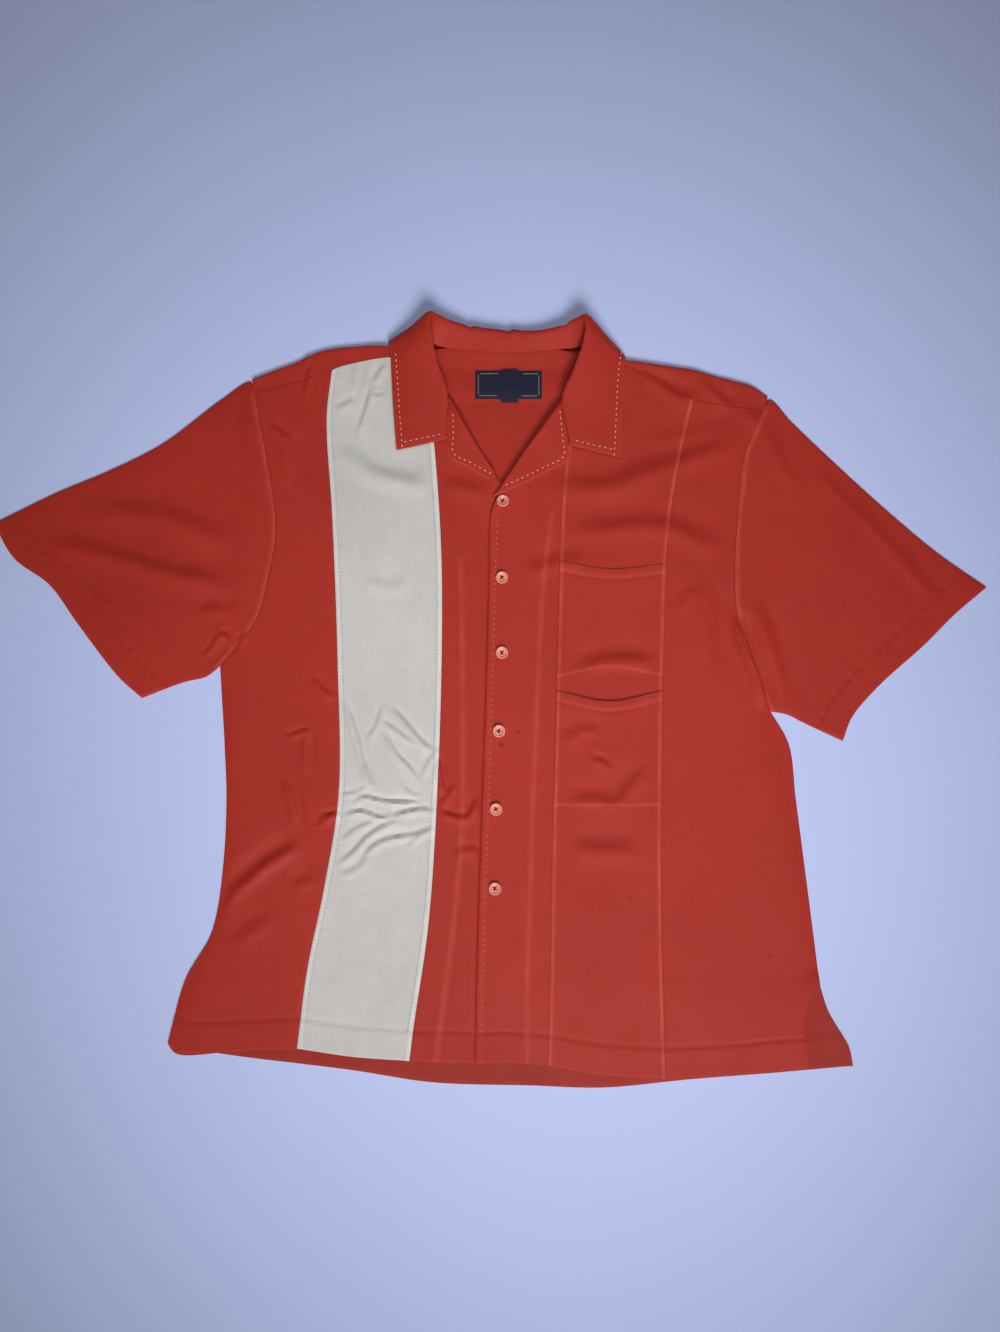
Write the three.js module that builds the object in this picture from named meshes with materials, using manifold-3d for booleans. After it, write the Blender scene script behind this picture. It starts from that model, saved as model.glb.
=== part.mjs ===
// A camp-collar bowling shirt, men's size L, laid out flat on its back on a level surface.
// Millimetres, +Z up.  X runs across the shirt, towards the wearer's left sleeve, and +Y runs
// from the hem to the collar.  The origin is on the surface, under the middle of the outline.
// Names that end in Right and Left are the wearer's right and left, so Right is on the -X side.
//
// Each piece of cloth is a wall of even thickness on a middle surface.  The middle surfaces are
// patches between the seams, so neighbours share a seam line and stay SEAM_GAP apart, and
// whatever lies on a panel takes that panel's own height and is lifted by a layer.
import * as THREE from 'three';
import { mergeVertices } from 'three/addons/utils/BufferGeometryUtils.js';
import Module from 'manifold-3d';

// ---- driving sizes ------------------------------------------------------------------------
const WALL = 1.2;                  // cloth as built; pressed seams and fused cloth are no thicker
const SEAM_GAP = 0.3;              // clear space between two pieces that are sewn together
const LAYER = WALL + SEAM_GAP;     // one cloth lying on another, middle to middle
const FLOOR = WALL / 2;            // middle surface of a cloth that lies on the floor
const FRONT_LIE = FLOOR + LAYER + 0.3;   // middle surface of the fronts where they lie flattest
const EDGE_LIE = FLOOR + LAYER;    // and right at the side seams

const BODY_ROWS = { armhole: 10, side: 14 };      // patch rows down the body, at every seam
const PANEL_COLS = { side: 5, stripe: 4, inner: 4, placket: 4, pocket: 4 };   // and across
const BUTTON = { radius: 6.35, rim: 1.3, base: 1.7, edge: 2.8, hole: 0.8, pitch: 1.5 };
const LABEL_WALL = 1.0;
const LABEL_EASE = 0.6;            // a label's clear space over the yoke, which curves under it

const COLOURS = {
  body: 0xb23e32, inside: 0x8f2f26, beige: 0xc6c0b8, button: 0xd0685a, navy: 0x1f1b28,
};

// ---- seam lines: short tables, one row for each point of the line -------------------------
// Columns: x across, y up the body.  Lengthwise seams run from the yoke down to the hem.
const SHOULDER_RIGHT = [            // the fold of the yoke, from the armhole to the neck
  [-250, 328], [-222, 339], [-206, 345], [-178, 358], [-125, 364], [-100, 362], [-66, 361],
];
const SHOULDER_LEFT = [
  [293, 310], [275, 321], [249, 328], [215, 338], [180, 343], [150, 347.5], [126, 348], [102, 351],
];
const YOKE_SEAM_RIGHT = {           // where the yoke meets the fronts
  side: [[-247, 312], [-200, 325], [-166, 337]],
  stripe: [[-166, 337], [-157, 341], [-113, 350], [-68, 349]],
};
const YOKE_SEAM_LEFT = {
  pocket: [[104, 341], [140, 341], [158, 334], [182, 318], [215, 305]],
  side: [[215, 305], [253, 298], [288, 295]],
};
const ARMHOLE_RIGHT = [[-247, 312], [-234, 249], [-222, 181], [-223, 148], [-229, 115], [-237, 80],
  [-250, 57], [-277, 25]];
const ARMHOLE_LEFT = [[288, 295], [268, 250], [257, 170], [254, 95], [261, 47], [276, 13],
  [288, -22]];
const SIDE_RIGHT = [[-277, 25], [-275, 0], [-270, -61], [-267, -112], [-269, -180], [-279, -244],
  [-304, -290], [-320, -352]];
const SIDE_LEFT = [[288, -22], [306, -55], [312, -112], [322, -207], [331, -295]];
const VENT_FRONT = [[331, -295], [322, -303], [314, -330], [314, -346], [319, -376]];
const VENT_BACK = [[331, -295], [339, -321], [352, -344], [359, -357], [362, -374]];
const STRIPE_OUTER = [[-166, 337], [-171, 285], [-164, 186], [-156, 34], [-153, -106],
  [-166, -198], [-182, -281], [-191, -357]];
const STRIPE_INNER = [[-68, 349], [-58, 260], [-50, 146], [-49, 30], [-53, -112], [-61, -237],
  [-75, -336], [-79, -369]];
const UNDERLAP = [[13, 213], [25, 186], [24, 90], [21, -59], [15, -214], [11, -371]];
const FRONT_EDGE = [[8, 201], [2, 185], [0, 126], [-2, 42], [-7, -116], [-12, -276], [-14, -371]];
const POCKET_INNER = [[104, 341], [85, 274], [77, 220], [73, 149], [69, 21], [64, -142],
  [60, -311], [58, -373]];
const POCKET_OUTER = [[215, 305], [197, 229], [185, 149], [181, 79], [175, -116], [174, -262],
  [176, -386]];
const HEM_RIGHT = { side: [[-320, -352], [-311, -362], [-255, -360], [-191, -357]],
  stripe: [[-191, -357], [-135, -365], [-79, -369]], inner: [[-79, -369], [-14, -371], [11, -371]] };
const HEM_LEFT = { placket: [[-14, -371], [21, -370], [58, -373]],
  pocket: [[58, -373], [109, -382], [176, -386]], side: [[176, -386], [241, -383], [319, -376]] };
// The fronts' necklines.  Below the collar they run just inside the roll line, where the lapels
// fold round them.
const NECK_RIGHT = [
  [-68, 349], [-65, 331], [-49, 308], [-36.5, 291.5], [-18.5, 262.5], [-2.5, 237.5], [13, 213],
];
const NECK_LEFT = [
  [8, 201], [18.5, 217.5], [40.5, 249.5], [63.5, 283.5], [80, 303], [95, 325], [104, 341],
];
const NECK_BACK = [[-62, 359], [-50, 361], [-33, 361], [16, 357], [52, 358], [72, 360], [96, 355]];
const BACK_HEM = [[-319, -354], [-255, -364], [-138, -378], [-56, -390], [40, -393], [114, -395],
  [201, -387], [281, -381], [362, -374]];
// Hidden, nearly level.  Its ends leave six armhole rows of the back below them on either side.
const BACK_YOKE_SEAM = [[-222.3, 176], [-60, 186], [96, 180], [256.4, 160]];
const SLEEVE_RIGHT = {
  armhole: ARMHOLE_RIGHT,
  top: [[-247, 312], [-252, 326], [-282, 307], [-343, 259], [-398, 230], [-451, 207], [-516, 174]],
  hem: [[-516, 174], [-493, 137], [-455, 109], [-424, 68], [-380, 13], [-356, -8]],
  bottom: [[-277, 25], [-291, 14], [-314, 8], [-356, -8]],
};
const SLEEVE_LEFT = {
  armhole: ARMHOLE_LEFT,
  top: [[288, 295], [295, 307], [318, 282], [371, 229], [424, 179], [468, 141], [515, 107]],
  hem: [[515, 107], [480, 78], [448, 47], [398, 3], [371, -28], [361, -52]],
  bottom: [[288, -22], [305, -25], [321, -33], [361, -52]],
};

// Pockets lie between the pocket panel's two seams.  y at the inner seam, the middle and the outer
// seam, for the mouth and for the foot.
const POCKETS = [
  { name: 'pocket_upper', mouth: [133, 125, 131], foot: [13, 23, 14] },
  { name: 'pocket_lower', mouth: [-1, -12, -1], foot: [-118, -118, -118] },
];
const BUTTONS = [[14, 196], [13, 116], [13, 38], [10, -42], [7, -121], [6, -200]];   // centres

// Largest folds.  Each is a soft ridge (height > 0) or trough (height < 0) along a straight run
// from (x1, y1) to (x2, y2), with its half width.
const FOLDS = [
  // x1, y1, x2, y2, half width, height
  { x1: -433, y1: 199, x2: -262, y2: 149, half: 26, height: 1.3 },    // right sleeve
  { x1: -474, y1: 167, x2: -253, y2: 104, half: 24, height: -0.9 },
  { x1: -139, y1: 280, x2: -59, y2: 224, half: 22, height: 1.5 },      // stripe, below the collar
  { x1: -274, y1: -227, x2: -192, y2: -150, half: 22, height: 1.6 },  // right side, waist
  { x1: -128, y1: -112, x2: -40, y2: -128, half: 18, height: 1.5 },   // stripe, waist
  { x1: -146, y1: -160, x2: -70, y2: -138, half: 16, height: 1.2 },
  { x1: 60, y1: 214, x2: 270, y2: 282, half: 24, height: 1.3 },       // left chest
  { x1: 90, y1: 178, x2: 256, y2: 158, half: 20, height: 1.1 },
  { x1: 232, y1: 120, x2: 226, y2: 20, half: 22, height: 1.0 },
  { x1: 88, y1: 16, x2: 170, y2: 34, half: 22, height: 1.5 },         // over the lower pocket
  { x1: 75, y1: -120, x2: 160, y2: -76, half: 24, height: 1.2 },
  { x1: 310, y1: 262, x2: 474, y2: 90, half: 26, height: 1.2 },       // left sleeve
  { x1: 275, y1: 99, x2: 313, y2: -31, half: 18, height: 1.4 },
];

// The collar in sections, from the wearer's right notch round the back of the neck to the left.
// Columns: neck = on the neckline seam, roll = top of the fold, leaf = middle of the outer leaf,
// edge = outer edge.  Each is x, y, z.  Behind the neck the leaf goes down to the floor and
// lies there under the yoke.
const COLLAR = [
  { neck: [-46, 262, 6.8], roll: [-44, 262, 8.4], leaf: [-70, 256, 8.4], edge: [-97, 250.5, 7] },
  { neck: [-47, 286, 8], roll: [-44, 288, 10.6], leaf: [-71, 282, 10], edge: [-99, 275, 7.8] },
  { neck: [-49, 308, 10], roll: [-44, 312, 14], leaf: [-72, 306, 12.5], edge: [-101, 301, 8.6] },
  { neck: [-65, 330, 12], roll: [-54.5, 341, 21], leaf: [-80, 333, 16], edge: [-102.5, 328, 9.5] },
  { neck: [-68, 348, 12.5], roll: [-60, 367, 27], leaf: [-84, 356, 20], edge: [-103.5, 350, 11.2] },
  { neck: [-66, 360, 12], roll: [-61.5, 384, 28], leaf: [-85, 371, 19], edge: [-105, 364, 10.5] },
  { neck: [-60, 367, 10.5], roll: [-60, 391, 27], leaf: [-84, 379.5, 13.5], edge: [-107, 368, 4] },
  { neck: [-52, 367, 9], roll: [-53, 390, 25], leaf: [-80, 380, 4], edge: [-98, 348, 0.6] },
  { neck: [-40, 364.5, 7.5], roll: [-40, 387, 22], leaf: [-52, 385, 3], edge: [-70, 334, 0.6] },
  { neck: [-16, 361.5, 6.6], roll: [-16, 381, 19], leaf: [-22, 382, 2.6], edge: [-32, 326, 0.6] },
  { neck: [16, 360.5, 6.4], roll: [16, 377, 18], leaf: [16, 379, 2.4], edge: [16, 323, 0.6] },
  { neck: [48, 361.5, 6.6], roll: [48, 376, 18.5], leaf: [54, 378, 2.6], edge: [64, 325, 0.6] },
  { neck: [74, 365, 7.5], roll: [73, 380, 21.5], leaf: [84, 379, 3], edge: [102, 333, 0.6] },
  { neck: [87, 365.5, 9], roll: [90, 386, 25], leaf: [113, 371, 4], edge: [132, 340, 0.6] },
  { neck: [96, 364, 10.5], roll: [98.5, 388, 27], leaf: [122, 371, 13.5], edge: [143, 352, 4] },
  { neck: [104, 356, 12], roll: [100, 378, 28], leaf: [122, 362, 19], edge: [141.5, 345, 10.5] },
  { neck: [105, 344, 12.5], roll: [97.5, 361, 26], leaf: [119, 350, 19], edge: [140.5, 336, 10] },
  { neck: [96, 326, 12], roll: [87.5, 333, 20.5], leaf: [114, 324, 15.5], edge: [139.5, 314, 8.8] },
  { neck: [80, 300, 10], roll: [75.5, 304, 14], leaf: [107, 299, 12.5], edge: [138.5, 289, 8.4] },
  { neck: [82, 277, 8], roll: [79.5, 279, 10.6], leaf: [108, 273, 10], edge: [137.5, 266, 7.8] },
  { neck: [86, 254, 6.8], roll: [84, 255, 8.4], leaf: [110, 248.5, 8.4], edge: [136, 242.5, 7] },
];

// The lapels: the facing turned back over the front at the roll line.  Columns: roll = on the
// roll line, out = on the lapel's free edge and then up the gorge seam, both x, y.
const LAPEL_RIGHT = [
  { roll: [5, 229], out: [-1, 219.5] }, { roll: [-3, 241], out: [-22, 232] },
  { roll: [-13, 257], out: [-43, 244] }, { roll: [-24, 277], out: [-43, 262] },
  { roll: [-33, 293], out: [-43, 286] }, { roll: [-40, 304], out: [-43.5, 302] },
];
const LAPEL_LEFT = [
  { roll: [6.5, 204], out: [3.8, 200.5] }, { roll: [15.5, 218], out: [24, 209] },
  { roll: [26, 234], out: [44, 219] }, { roll: [38, 252], out: [62, 229] },
  { roll: [50, 270], out: [83, 241] }, { roll: [61, 286], out: [82.5, 255] },
  { roll: [69, 297], out: [79, 279] }, { roll: [73.5, 303], out: [76.5, 299] },
];

// ---- small maths ----------------------------------------------------------------------------
const mix = (a, b, t) => a + (b - a) * t;
const smooth = (low, high, value) => THREE.MathUtils.smoothstep(value, low, high);
const range = (n) => Array.from({ length: n + 1 }, (_, i) => i / n);

// A smooth line through the rows of a table, given back as n + 1 points, evenly spaced.
function line(rows, n) {
  const points = rows.map(([x, y, z = 0]) => new THREE.Vector3(x, y, z));
  return new THREE.CatmullRomCurve3(points, false, 'centripetal').getSpacedPoints(n);
}

// One line after another; the shared point is kept once.
const join = (first, second) => [...first, ...second.slice(1)];
const moved = (points, dx, dy) => points.map((p) => new THREE.Vector3(p.x + dx, p.y + dy, p.z));

// The value of one axis on a row of points, read at a value of the other axis.
const readOn = (from, to) => (points, at) => {
  const i = Math.max(1, points.findIndex((p, k) => k > 0
    && (p[from] - at) * (points[k - 1][from] - at) <= 0));
  const [a, b] = [points[i - 1], points[i]];
  return mix(a[to], b[to], (at - a[from]) / (b[from] - a[from]));
};
const xOn = readOn('y', 'x');
const yOn = readOn('x', 'y');

// Distance from (x, y) to a straight run, and how far along it the nearest point is.
function alongRun({ x1, y1, x2, y2 }, x, y) {
  const dx = x2 - x1;
  const dy = y2 - y1;
  const t = THREE.MathUtils.clamp(((x - x1) * dx + (y - y1) * dy) / (dx * dx + dy * dy), 0, 1);
  return Math.hypot(x - x1 - dx * t, y - y1 - dy * t);
}

const folds = (x, y) => FOLDS.reduce((sum, fold) => {
  const distance = alongRun(fold, x, y) / fold.half;
  return sum + fold.height * Math.exp(-distance * distance);
}, 0);

// ---- how high the cloth lies ----------------------------------------------------------------
// The fronts rise towards the shoulder fold and round the neck, where the collar's stand holds
// them up, and come down to the back at the side seams.
const NECK = { x: 17, vee: 215, low: 150, high: 330, reach: 78, lift: 4.6, spread: 0.62 };
const SHOULDER = { low: 255, high: 345, lift: 1.5 };

function neckLift(x, y) {
  const halfOpen = Math.max(0, y - NECK.vee) * NECK.spread;
  const outside = Math.abs(x - NECK.x) - halfOpen;
  return NECK.lift * smooth(NECK.low, NECK.high, y) * (1 - smooth(0, NECK.reach, outside));
}

function frontHeight(x, y) {
  const fromSide = Math.min(x + 262 + smooth(-200, -360, y) * 50, 300 + smooth(-60, -300, y) * 20 - x);
  const edge = smooth(0, 45, fromSide);
  const shoulder = SHOULDER.lift * smooth(SHOULDER.low, SHOULDER.high, y);
  return mix(EDGE_LIE, FRONT_LIE, edge) + (folds(x, y) + shoulder) * edge + neckLift(x, y);
}

// The left front laps over the right one, so it is a layer higher there, and two at the V, where
// the right lapel is under it too.
function lapHeight(x, y) {
  const over = 1 - smooth(28, 62, x);
  return frontHeight(x, y) + over * LAYER * (1.05 + 1.3 * smooth(150, 205, y));
}

// ---- patches and shells ---------------------------------------------------------------------
// A patch filled in between four lines of points that share their corners: left and right have
// the same number of points, and so have top and bottom.
function patch({ left, right, top, bottom }) {
  const rows = left.length - 1;
  const cols = top.length - 1;
  return left.map((_, i) => top.map((__, j) => {
    const v = i / rows;
    const u = j / cols;
    const axis = (key) => mix(left[i][key], right[i][key], u) + mix(top[j][key], bottom[j][key], v)
      - mix(mix(top[0][key], top[cols][key], u), mix(bottom[0][key], bottom[cols][key], u), v);
    return new THREE.Vector3(axis('x'), axis('y'), axis('z'));
  }));
}

const laid = (grid, height) => grid.map((row) => row.map(
  (p) => new THREE.Vector3(p.x, p.y, height(p.x, p.y))));

// The closed wall on a middle surface, given as grids that may share edges.  Points that fall
// together are one, so grids that share an edge make one sheet.  closed joins the last column of
// each row to its first one.
function clothWall(grids, wall, closed = false) {
  const points = [];
  const found = new Map();
  const indexOf = (p) => {
    const key = `${Math.round(p.x * 50)},${Math.round(p.y * 50)},${Math.round(p.z * 50)}`;
    if (!found.has(key)) {
      found.set(key, points.length);
      points.push(p);
    }
    return found.get(key);
  };
  const quads = grids.flatMap((grid) => {
    const index = grid.map((row) => row.map(indexOf));
    if (closed) index.forEach((row) => row.push(row[0]));
    return index.slice(1).flatMap((row, i) => row.slice(1).map(
      (corner, j) => [index[i][j], row[j], corner, index[i][j + 1]]));
  });
  const triangles = quads.flatMap(([a, b, c, d]) => [[a, b, c], [a, c, d]])
    .filter(([a, b, c]) => a !== b && b !== c && c !== a);

  const normals = points.map(() => new THREE.Vector3());
  for (const [a, b, c] of triangles) {
    const ab = points[b].clone().sub(points[a]);
    const normal = ab.cross(points[c].clone().sub(points[a]));
    for (const corner of [a, b, c]) normals[corner].add(normal);
  }
  normals.forEach((normal) => normal.normalize());

  const n = points.length;
  const offset = (side) => points.flatMap((p, i) => {
    const q = p.clone().addScaledVector(normals[i], side * wall / 2);
    return [q.x, q.y, q.z];
  });
  const used = new Set(triangles.flatMap(([a, b, c]) => [`${a},${b}`, `${b},${c}`, `${c},${a}`]));
  const rim = triangles.flatMap(([a, b, c]) => [[a, b], [b, c], [c, a]])
    .filter(([a, b]) => !used.has(`${b},${a}`));
  const index = [
    ...triangles.flat(),
    ...triangles.flatMap(([a, b, c]) => [c + n, b + n, a + n]),
    ...rim.flatMap(([a, b]) => [a, a + n, b + n, a, b + n, b]),
  ];
  const geometry = new THREE.BufferGeometry();
  geometry.setAttribute('position',
    new THREE.Float32BufferAttribute([...offset(1), ...offset(-1)], 3));
  geometry.setIndex(index);
  return geometry;
}

// ---- the group ------------------------------------------------------------------------------
const shirt = new THREE.Group();
const finish = {
  silk: { roughness: 0.55, metalness: 0 },
  button: { roughness: 0.35, metalness: 0 },
};

function add(name, geometry, color, look = finish.silk) {
  const mesh = new THREE.Mesh(geometry, new THREE.MeshStandardMaterial({ color, ...look }));
  mesh.name = name;
  shirt.add(mesh);
  return mesh;
}

// ---- body panels ----------------------------------------------------------------------------
const bodyRows = BODY_ROWS.armhole + BODY_ROWS.side;
const half = SEAM_GAP / 2;
const lengthwise = (rows) => line(rows, bodyRows);

// A front panel between two lengthwise seams.  top and hem are tables from left to right.
function frontPanel(name, { left, right, top, hem, cols, height, color = COLOURS.body }) {
  const below = (points) => [...moved(points.slice(0, 1), 0, -SEAM_GAP), ...points.slice(1)];
  const inner = below(moved(left, half, 0));
  const outer = below(moved(right, -half, 0));
  const between = (rows, from, to) => {
    const points = moved(line(rows, cols), 0, -SEAM_GAP);
    points[0] = from.clone();
    points[cols] = to.clone();
    return points;
  };
  const grid = patch({
    left: inner,
    right: outer,
    top: between(top, inner[0], outer[0]),
    bottom: between(hem, inner[bodyRows], outer[bodyRows]),
  });
  // rows run down and columns to +X, which faces the sheet's outside up
  add(name, clothWall([laid(grid, height)], WALL), color);
}

const armholeRight = line(ARMHOLE_RIGHT, BODY_ROWS.armhole);
const armholeLeft = line(ARMHOLE_LEFT, BODY_ROWS.armhole);
const sideRight = join(armholeRight, line(SIDE_RIGHT, BODY_ROWS.side));
const sideLeft = join(armholeLeft,
  join(line(SIDE_LEFT, BODY_ROWS.side - 4), line(VENT_FRONT, 4)));
const stripeOuter = lengthwise(STRIPE_OUTER);
const stripeInner = lengthwise(STRIPE_INNER);
const pocketInner = lengthwise(POCKET_INNER);
const pocketOuter = lengthwise(POCKET_OUTER);

frontPanel('front_right_side', {
  left: sideRight, right: stripeOuter, top: YOKE_SEAM_RIGHT.side, hem: HEM_RIGHT.side,
  cols: PANEL_COLS.side,
  height: frontHeight,
});
frontPanel('front_right_stripe', {
  left: stripeOuter, right: stripeInner, top: YOKE_SEAM_RIGHT.stripe, hem: HEM_RIGHT.stripe,
  cols: PANEL_COLS.stripe,
  height: frontHeight, color: COLOURS.beige,
});
frontPanel('front_right_inner', {
  left: stripeInner, right: lengthwise(UNDERLAP), top: NECK_RIGHT, hem: HEM_RIGHT.inner,
  cols: PANEL_COLS.inner,
  height: frontHeight,
});
frontPanel('front_left_placket', {
  left: lengthwise(FRONT_EDGE), right: pocketInner, top: NECK_LEFT, hem: HEM_LEFT.placket,
  cols: PANEL_COLS.placket,
  height: lapHeight,
});
frontPanel('front_left_pocket_panel', {
  left: pocketInner, right: pocketOuter, top: YOKE_SEAM_LEFT.pocket, hem: HEM_LEFT.pocket,
  cols: PANEL_COLS.pocket,
  height: lapHeight,
});
frontPanel('front_left_side', {
  left: pocketOuter, right: sideLeft, top: YOKE_SEAM_LEFT.side, hem: HEM_LEFT.side,
  cols: PANEL_COLS.side,
  height: lapHeight,
});

// ---- pockets --------------------------------------------------------------------------------
// Caught in the panel's two seams at the sides.  The mouth of each stands a little off the panel.
const POCKET_GRID = { rows: 5, cols: PANEL_COLS.pocket, gape: 0.8 };
for (const { name, mouth, foot } of POCKETS) {
  const seamAt = (rows, y) => new THREE.CatmullRomCurve3(
    rows.map(([sx, sy]) => new THREE.Vector3(sx, sy, 0)), false, 'centripetal')
    .getSpacedPoints(200).reduce((best, p) => (Math.abs(p.y - y) < Math.abs(best.y - y) ? p : best));
  const across = ([inner, middle, outer]) => {
    const a = seamAt(POCKET_INNER, inner).x + 0.6;
    const b = seamAt(POCKET_OUTER, outer).x - 0.6;
    return line([[a, inner], [(a + b) / 2, middle], [b, outer]], POCKET_GRID.cols);
  };
  const top = across(mouth);
  const bottom = across(foot);
  const sideLine = (from, to) => range(POCKET_GRID.rows).map((t) => from.clone().lerp(to, t));
  const grid = patch({
    left: sideLine(top[0], bottom[0]),
    right: sideLine(top[POCKET_GRID.cols], bottom[POCKET_GRID.cols]),
    top,
    bottom,
  });
  const onPanel = laid(grid, (x, y) => lapHeight(x, y) + LAYER + 0.3
    + POCKET_GRID.gape * smooth(mouth[1] - 45, mouth[1], y));
  add(name, clothWall([onPanel], WALL), COLOURS.body);
}

// ---- back and yoke --------------------------------------------------------------------------
// The back lies flat on the floor, from the yoke seam to the hem.
const BACK_GRID = { cols: 8 };
const backSeam = line(BACK_YOKE_SEAM, BACK_GRID.cols);
const backSide = (seam, armhole, side) => [
  new THREE.Vector3(xOn(armhole, seam.y), seam.y - half, 0),
  ...armhole.filter((p) => p.y < seam.y - half - 1), ...side.slice(1)];
const backLeftEdge = moved(backSide(backSeam[0], armholeRight,
  line(SIDE_RIGHT, BODY_ROWS.side)), half, 0);
const backRightEdge = moved(backSide(backSeam.at(-1), armholeLeft,
  join(line(SIDE_LEFT, BODY_ROWS.side - 4), line(VENT_BACK, 4))), -half, 0);
const backHem = line(BACK_HEM, BACK_GRID.cols);
const pinned = (points, from, to) => [from, ...points.slice(1, -1), to];
add('back', clothWall([laid(patch({
  left: backLeftEdge,
  right: backRightEdge,
  top: pinned(moved(backSeam, 0, -half), backLeftEdge[0], backRightEdge[0]),
  bottom: pinned(backHem, backLeftEdge.at(-1), backRightEdge.at(-1)),
}), () => FLOOR)], WALL), COLOURS.body);

// The yoke lies on the floor behind the neck, on the collar's leaf near it, and folds over each
// shoulder on to the front.
const YOKE_ROWS = [0, 0.17, 0.34, 0.51, 0.66, 0.78, 0.88, 0.94, 1];   // closer together at the neck
const YOKE_GRID = { flap: 2, neck: 9, fold: 3 };
const YOKE_LIFT = { low: 300, high: 336, reach: 150, lift: 1.7, rise: 3.1 };

function yokeHeight(x, y) {
  const near = 1 - smooth(YOKE_LIFT.reach - 30, YOKE_LIFT.reach + 20, Math.abs(x - NECK.x));
  const overLeaf = YOKE_LIFT.lift * smooth(YOKE_LIFT.low, YOKE_LIFT.low + 18, y);
  return FLOOR + near * (overLeaf + YOKE_LIFT.rise * smooth(YOKE_LIFT.high, 360, y));
}

// One shoulder's columns: along the floor to the fold, round it and forward to the front seam.
// lean is how closely the column follows the armhole line: 1 at the armhole, 0 far from it.
function yokeColumn(start, shoulder, seam, armhole, lean) {
  const inward = seam.clone().sub(shoulder).setZ(0).normalize();
  const upper = frontHeight(seam.x, seam.y);
  const lower = yokeHeight(shoulder.x, shoulder.y);
  const radius = Math.max(1.1, (upper - lower) / 2 + 0.4);
  const centre = shoulder.clone().addScaledVector(inward, radius + WALL / 2);
  centre.z = lower + radius;
  const round = range(YOKE_GRID.fold + 1).map((t) => {
    const angle = Math.PI * (t - 0.5);
    const out = centre.clone().addScaledVector(inward, -radius * Math.cos(angle));
    return out.setZ(centre.z + radius * Math.sin(angle));
  });
  const floor = YOKE_ROWS.slice(0, -1).map((t) => {
    const p = start.clone().lerp(round[0], t);
    p.x += (xOn(armhole, p.y) - mix(xOn(armhole, start.y), xOn(armhole, round[0].y), t)) * lean;
    return p.setZ(Math.min(yokeHeight(p.x, p.y), round[0].z));
  });
  const end = seam.clone().setZ(upper);
  const flap = range(YOKE_GRID.flap).slice(1).map((t) => round.at(-1).clone().lerp(end, t));
  return [...floor, ...round, ...flap];
}

const transpose = (columns) => columns[0].map((_, i) => columns.map((column) => column[i]));
const backYokeLine = (from, to, n) => range(n).map((t) => {
  const x = mix(from, to, t);
  return new THREE.Vector3(x, yOn(backSeam, x) + half, 0);
});

function yokeShoulder(shoulder, seams, armhole, from, to) {
  const n = seams.length - 1;
  const starts = backYokeLine(from, to, n);
  return line(shoulder, n).map((p, i) => yokeColumn(
    starts[i], p, moved([seams[i]], 0, half)[0], armhole, (1 - i / n) ** 2));
}

const rightSeams = join(line(YOKE_SEAM_RIGHT.side, PANEL_COLS.side),
  line(YOKE_SEAM_RIGHT.stripe, PANEL_COLS.stripe));
const leftSeams = join(line(YOKE_SEAM_LEFT.pocket, PANEL_COLS.pocket),
  line(YOKE_SEAM_LEFT.side, PANEL_COLS.side)).reverse();
const rightShoulder = yokeShoulder(SHOULDER_RIGHT, rightSeams, armholeRight,
  backSeam[0].x + SEAM_GAP, -62);
const leftShoulder = yokeShoulder(SHOULDER_LEFT, leftSeams, armholeLeft,
  backSeam.at(-1).x - SEAM_GAP, 96).reverse();
const neckLine = moved(line(NECK_BACK, YOKE_GRID.neck), 0, -0.9);
const neckStarts = backYokeLine(-62, 96, YOKE_GRID.neck);
const neckColumns = neckLine.map((p, i) => YOKE_ROWS.map((t) => {
  const q = neckStarts[i].clone().lerp(p, t);
  return q.setZ(yokeHeight(q.x, q.y));
}));
neckColumns[0] = rightShoulder.at(-1).slice(0, YOKE_ROWS.length);
neckColumns[YOKE_GRID.neck] = leftShoulder[0].slice(0, YOKE_ROWS.length);
// rows run towards the neck here, so the grids are turned to face up
const facingUp = (columns) => transpose([...columns].reverse());
add('yoke', clothWall([facingUp(rightShoulder), facingUp(neckColumns), facingUp(leftShoulder)],
  WALL), COLOURS.inside);

// ---- sleeves --------------------------------------------------------------------------------
// A flattened tube, open at the armhole and at the hem.  Each row is one section: along the floor
// from the top fold to the underarm fold, round it, and back over the top.
const SLEEVE_GRID = { rows: 8, across: BODY_ROWS.armhole, fold: 2 };
const SLEEVE_PUFF = 1.1;

function sleeveRing(section, width) {
  const n = SLEEVE_GRID.across;
  const first = section[0];
  const last = section[n];
  const inward = section[1].clone().sub(first).normalize();
  const outward = last.clone().sub(section[n - 1]).normalize();
  const puff = (t) => EDGE_LIE + 0.5 + SLEEVE_PUFF * Math.sin(Math.PI * t) * width;
  const radius = (EDGE_LIE + 0.5 - FLOOR) / 2;
  const fold = (centre, direction, from) => range(SLEEVE_GRID.fold + 1).slice(1, -1).map((t) => {
    const angle = from * Math.PI * (t - 0.5);
    return centre.clone().addScaledVector(direction, radius * Math.cos(angle))
      .setZ(FLOOR + radius + radius * Math.sin(angle));
  });
  const middle = section.map((p, i) => {
    if (i === 0) return p.clone().addScaledVector(inward, radius + WALL / 2);
    if (i === n) return p.clone().addScaledVector(outward, -radius - WALL / 2);
    return p.clone();
  });
  const bottom = middle.map((p) => p.clone().setZ(FLOOR));
  const top = middle.map((p, i) => {
    const t = i / n;
    return p.clone().setZ(puff(t) + folds(p.x, p.y) * Math.sin(Math.PI * t));
  });
  return [...bottom, ...fold(middle[n], outward, 1), ...top.reverse(),
    ...fold(middle[0], inward.clone().negate(), -1)];
}

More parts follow.
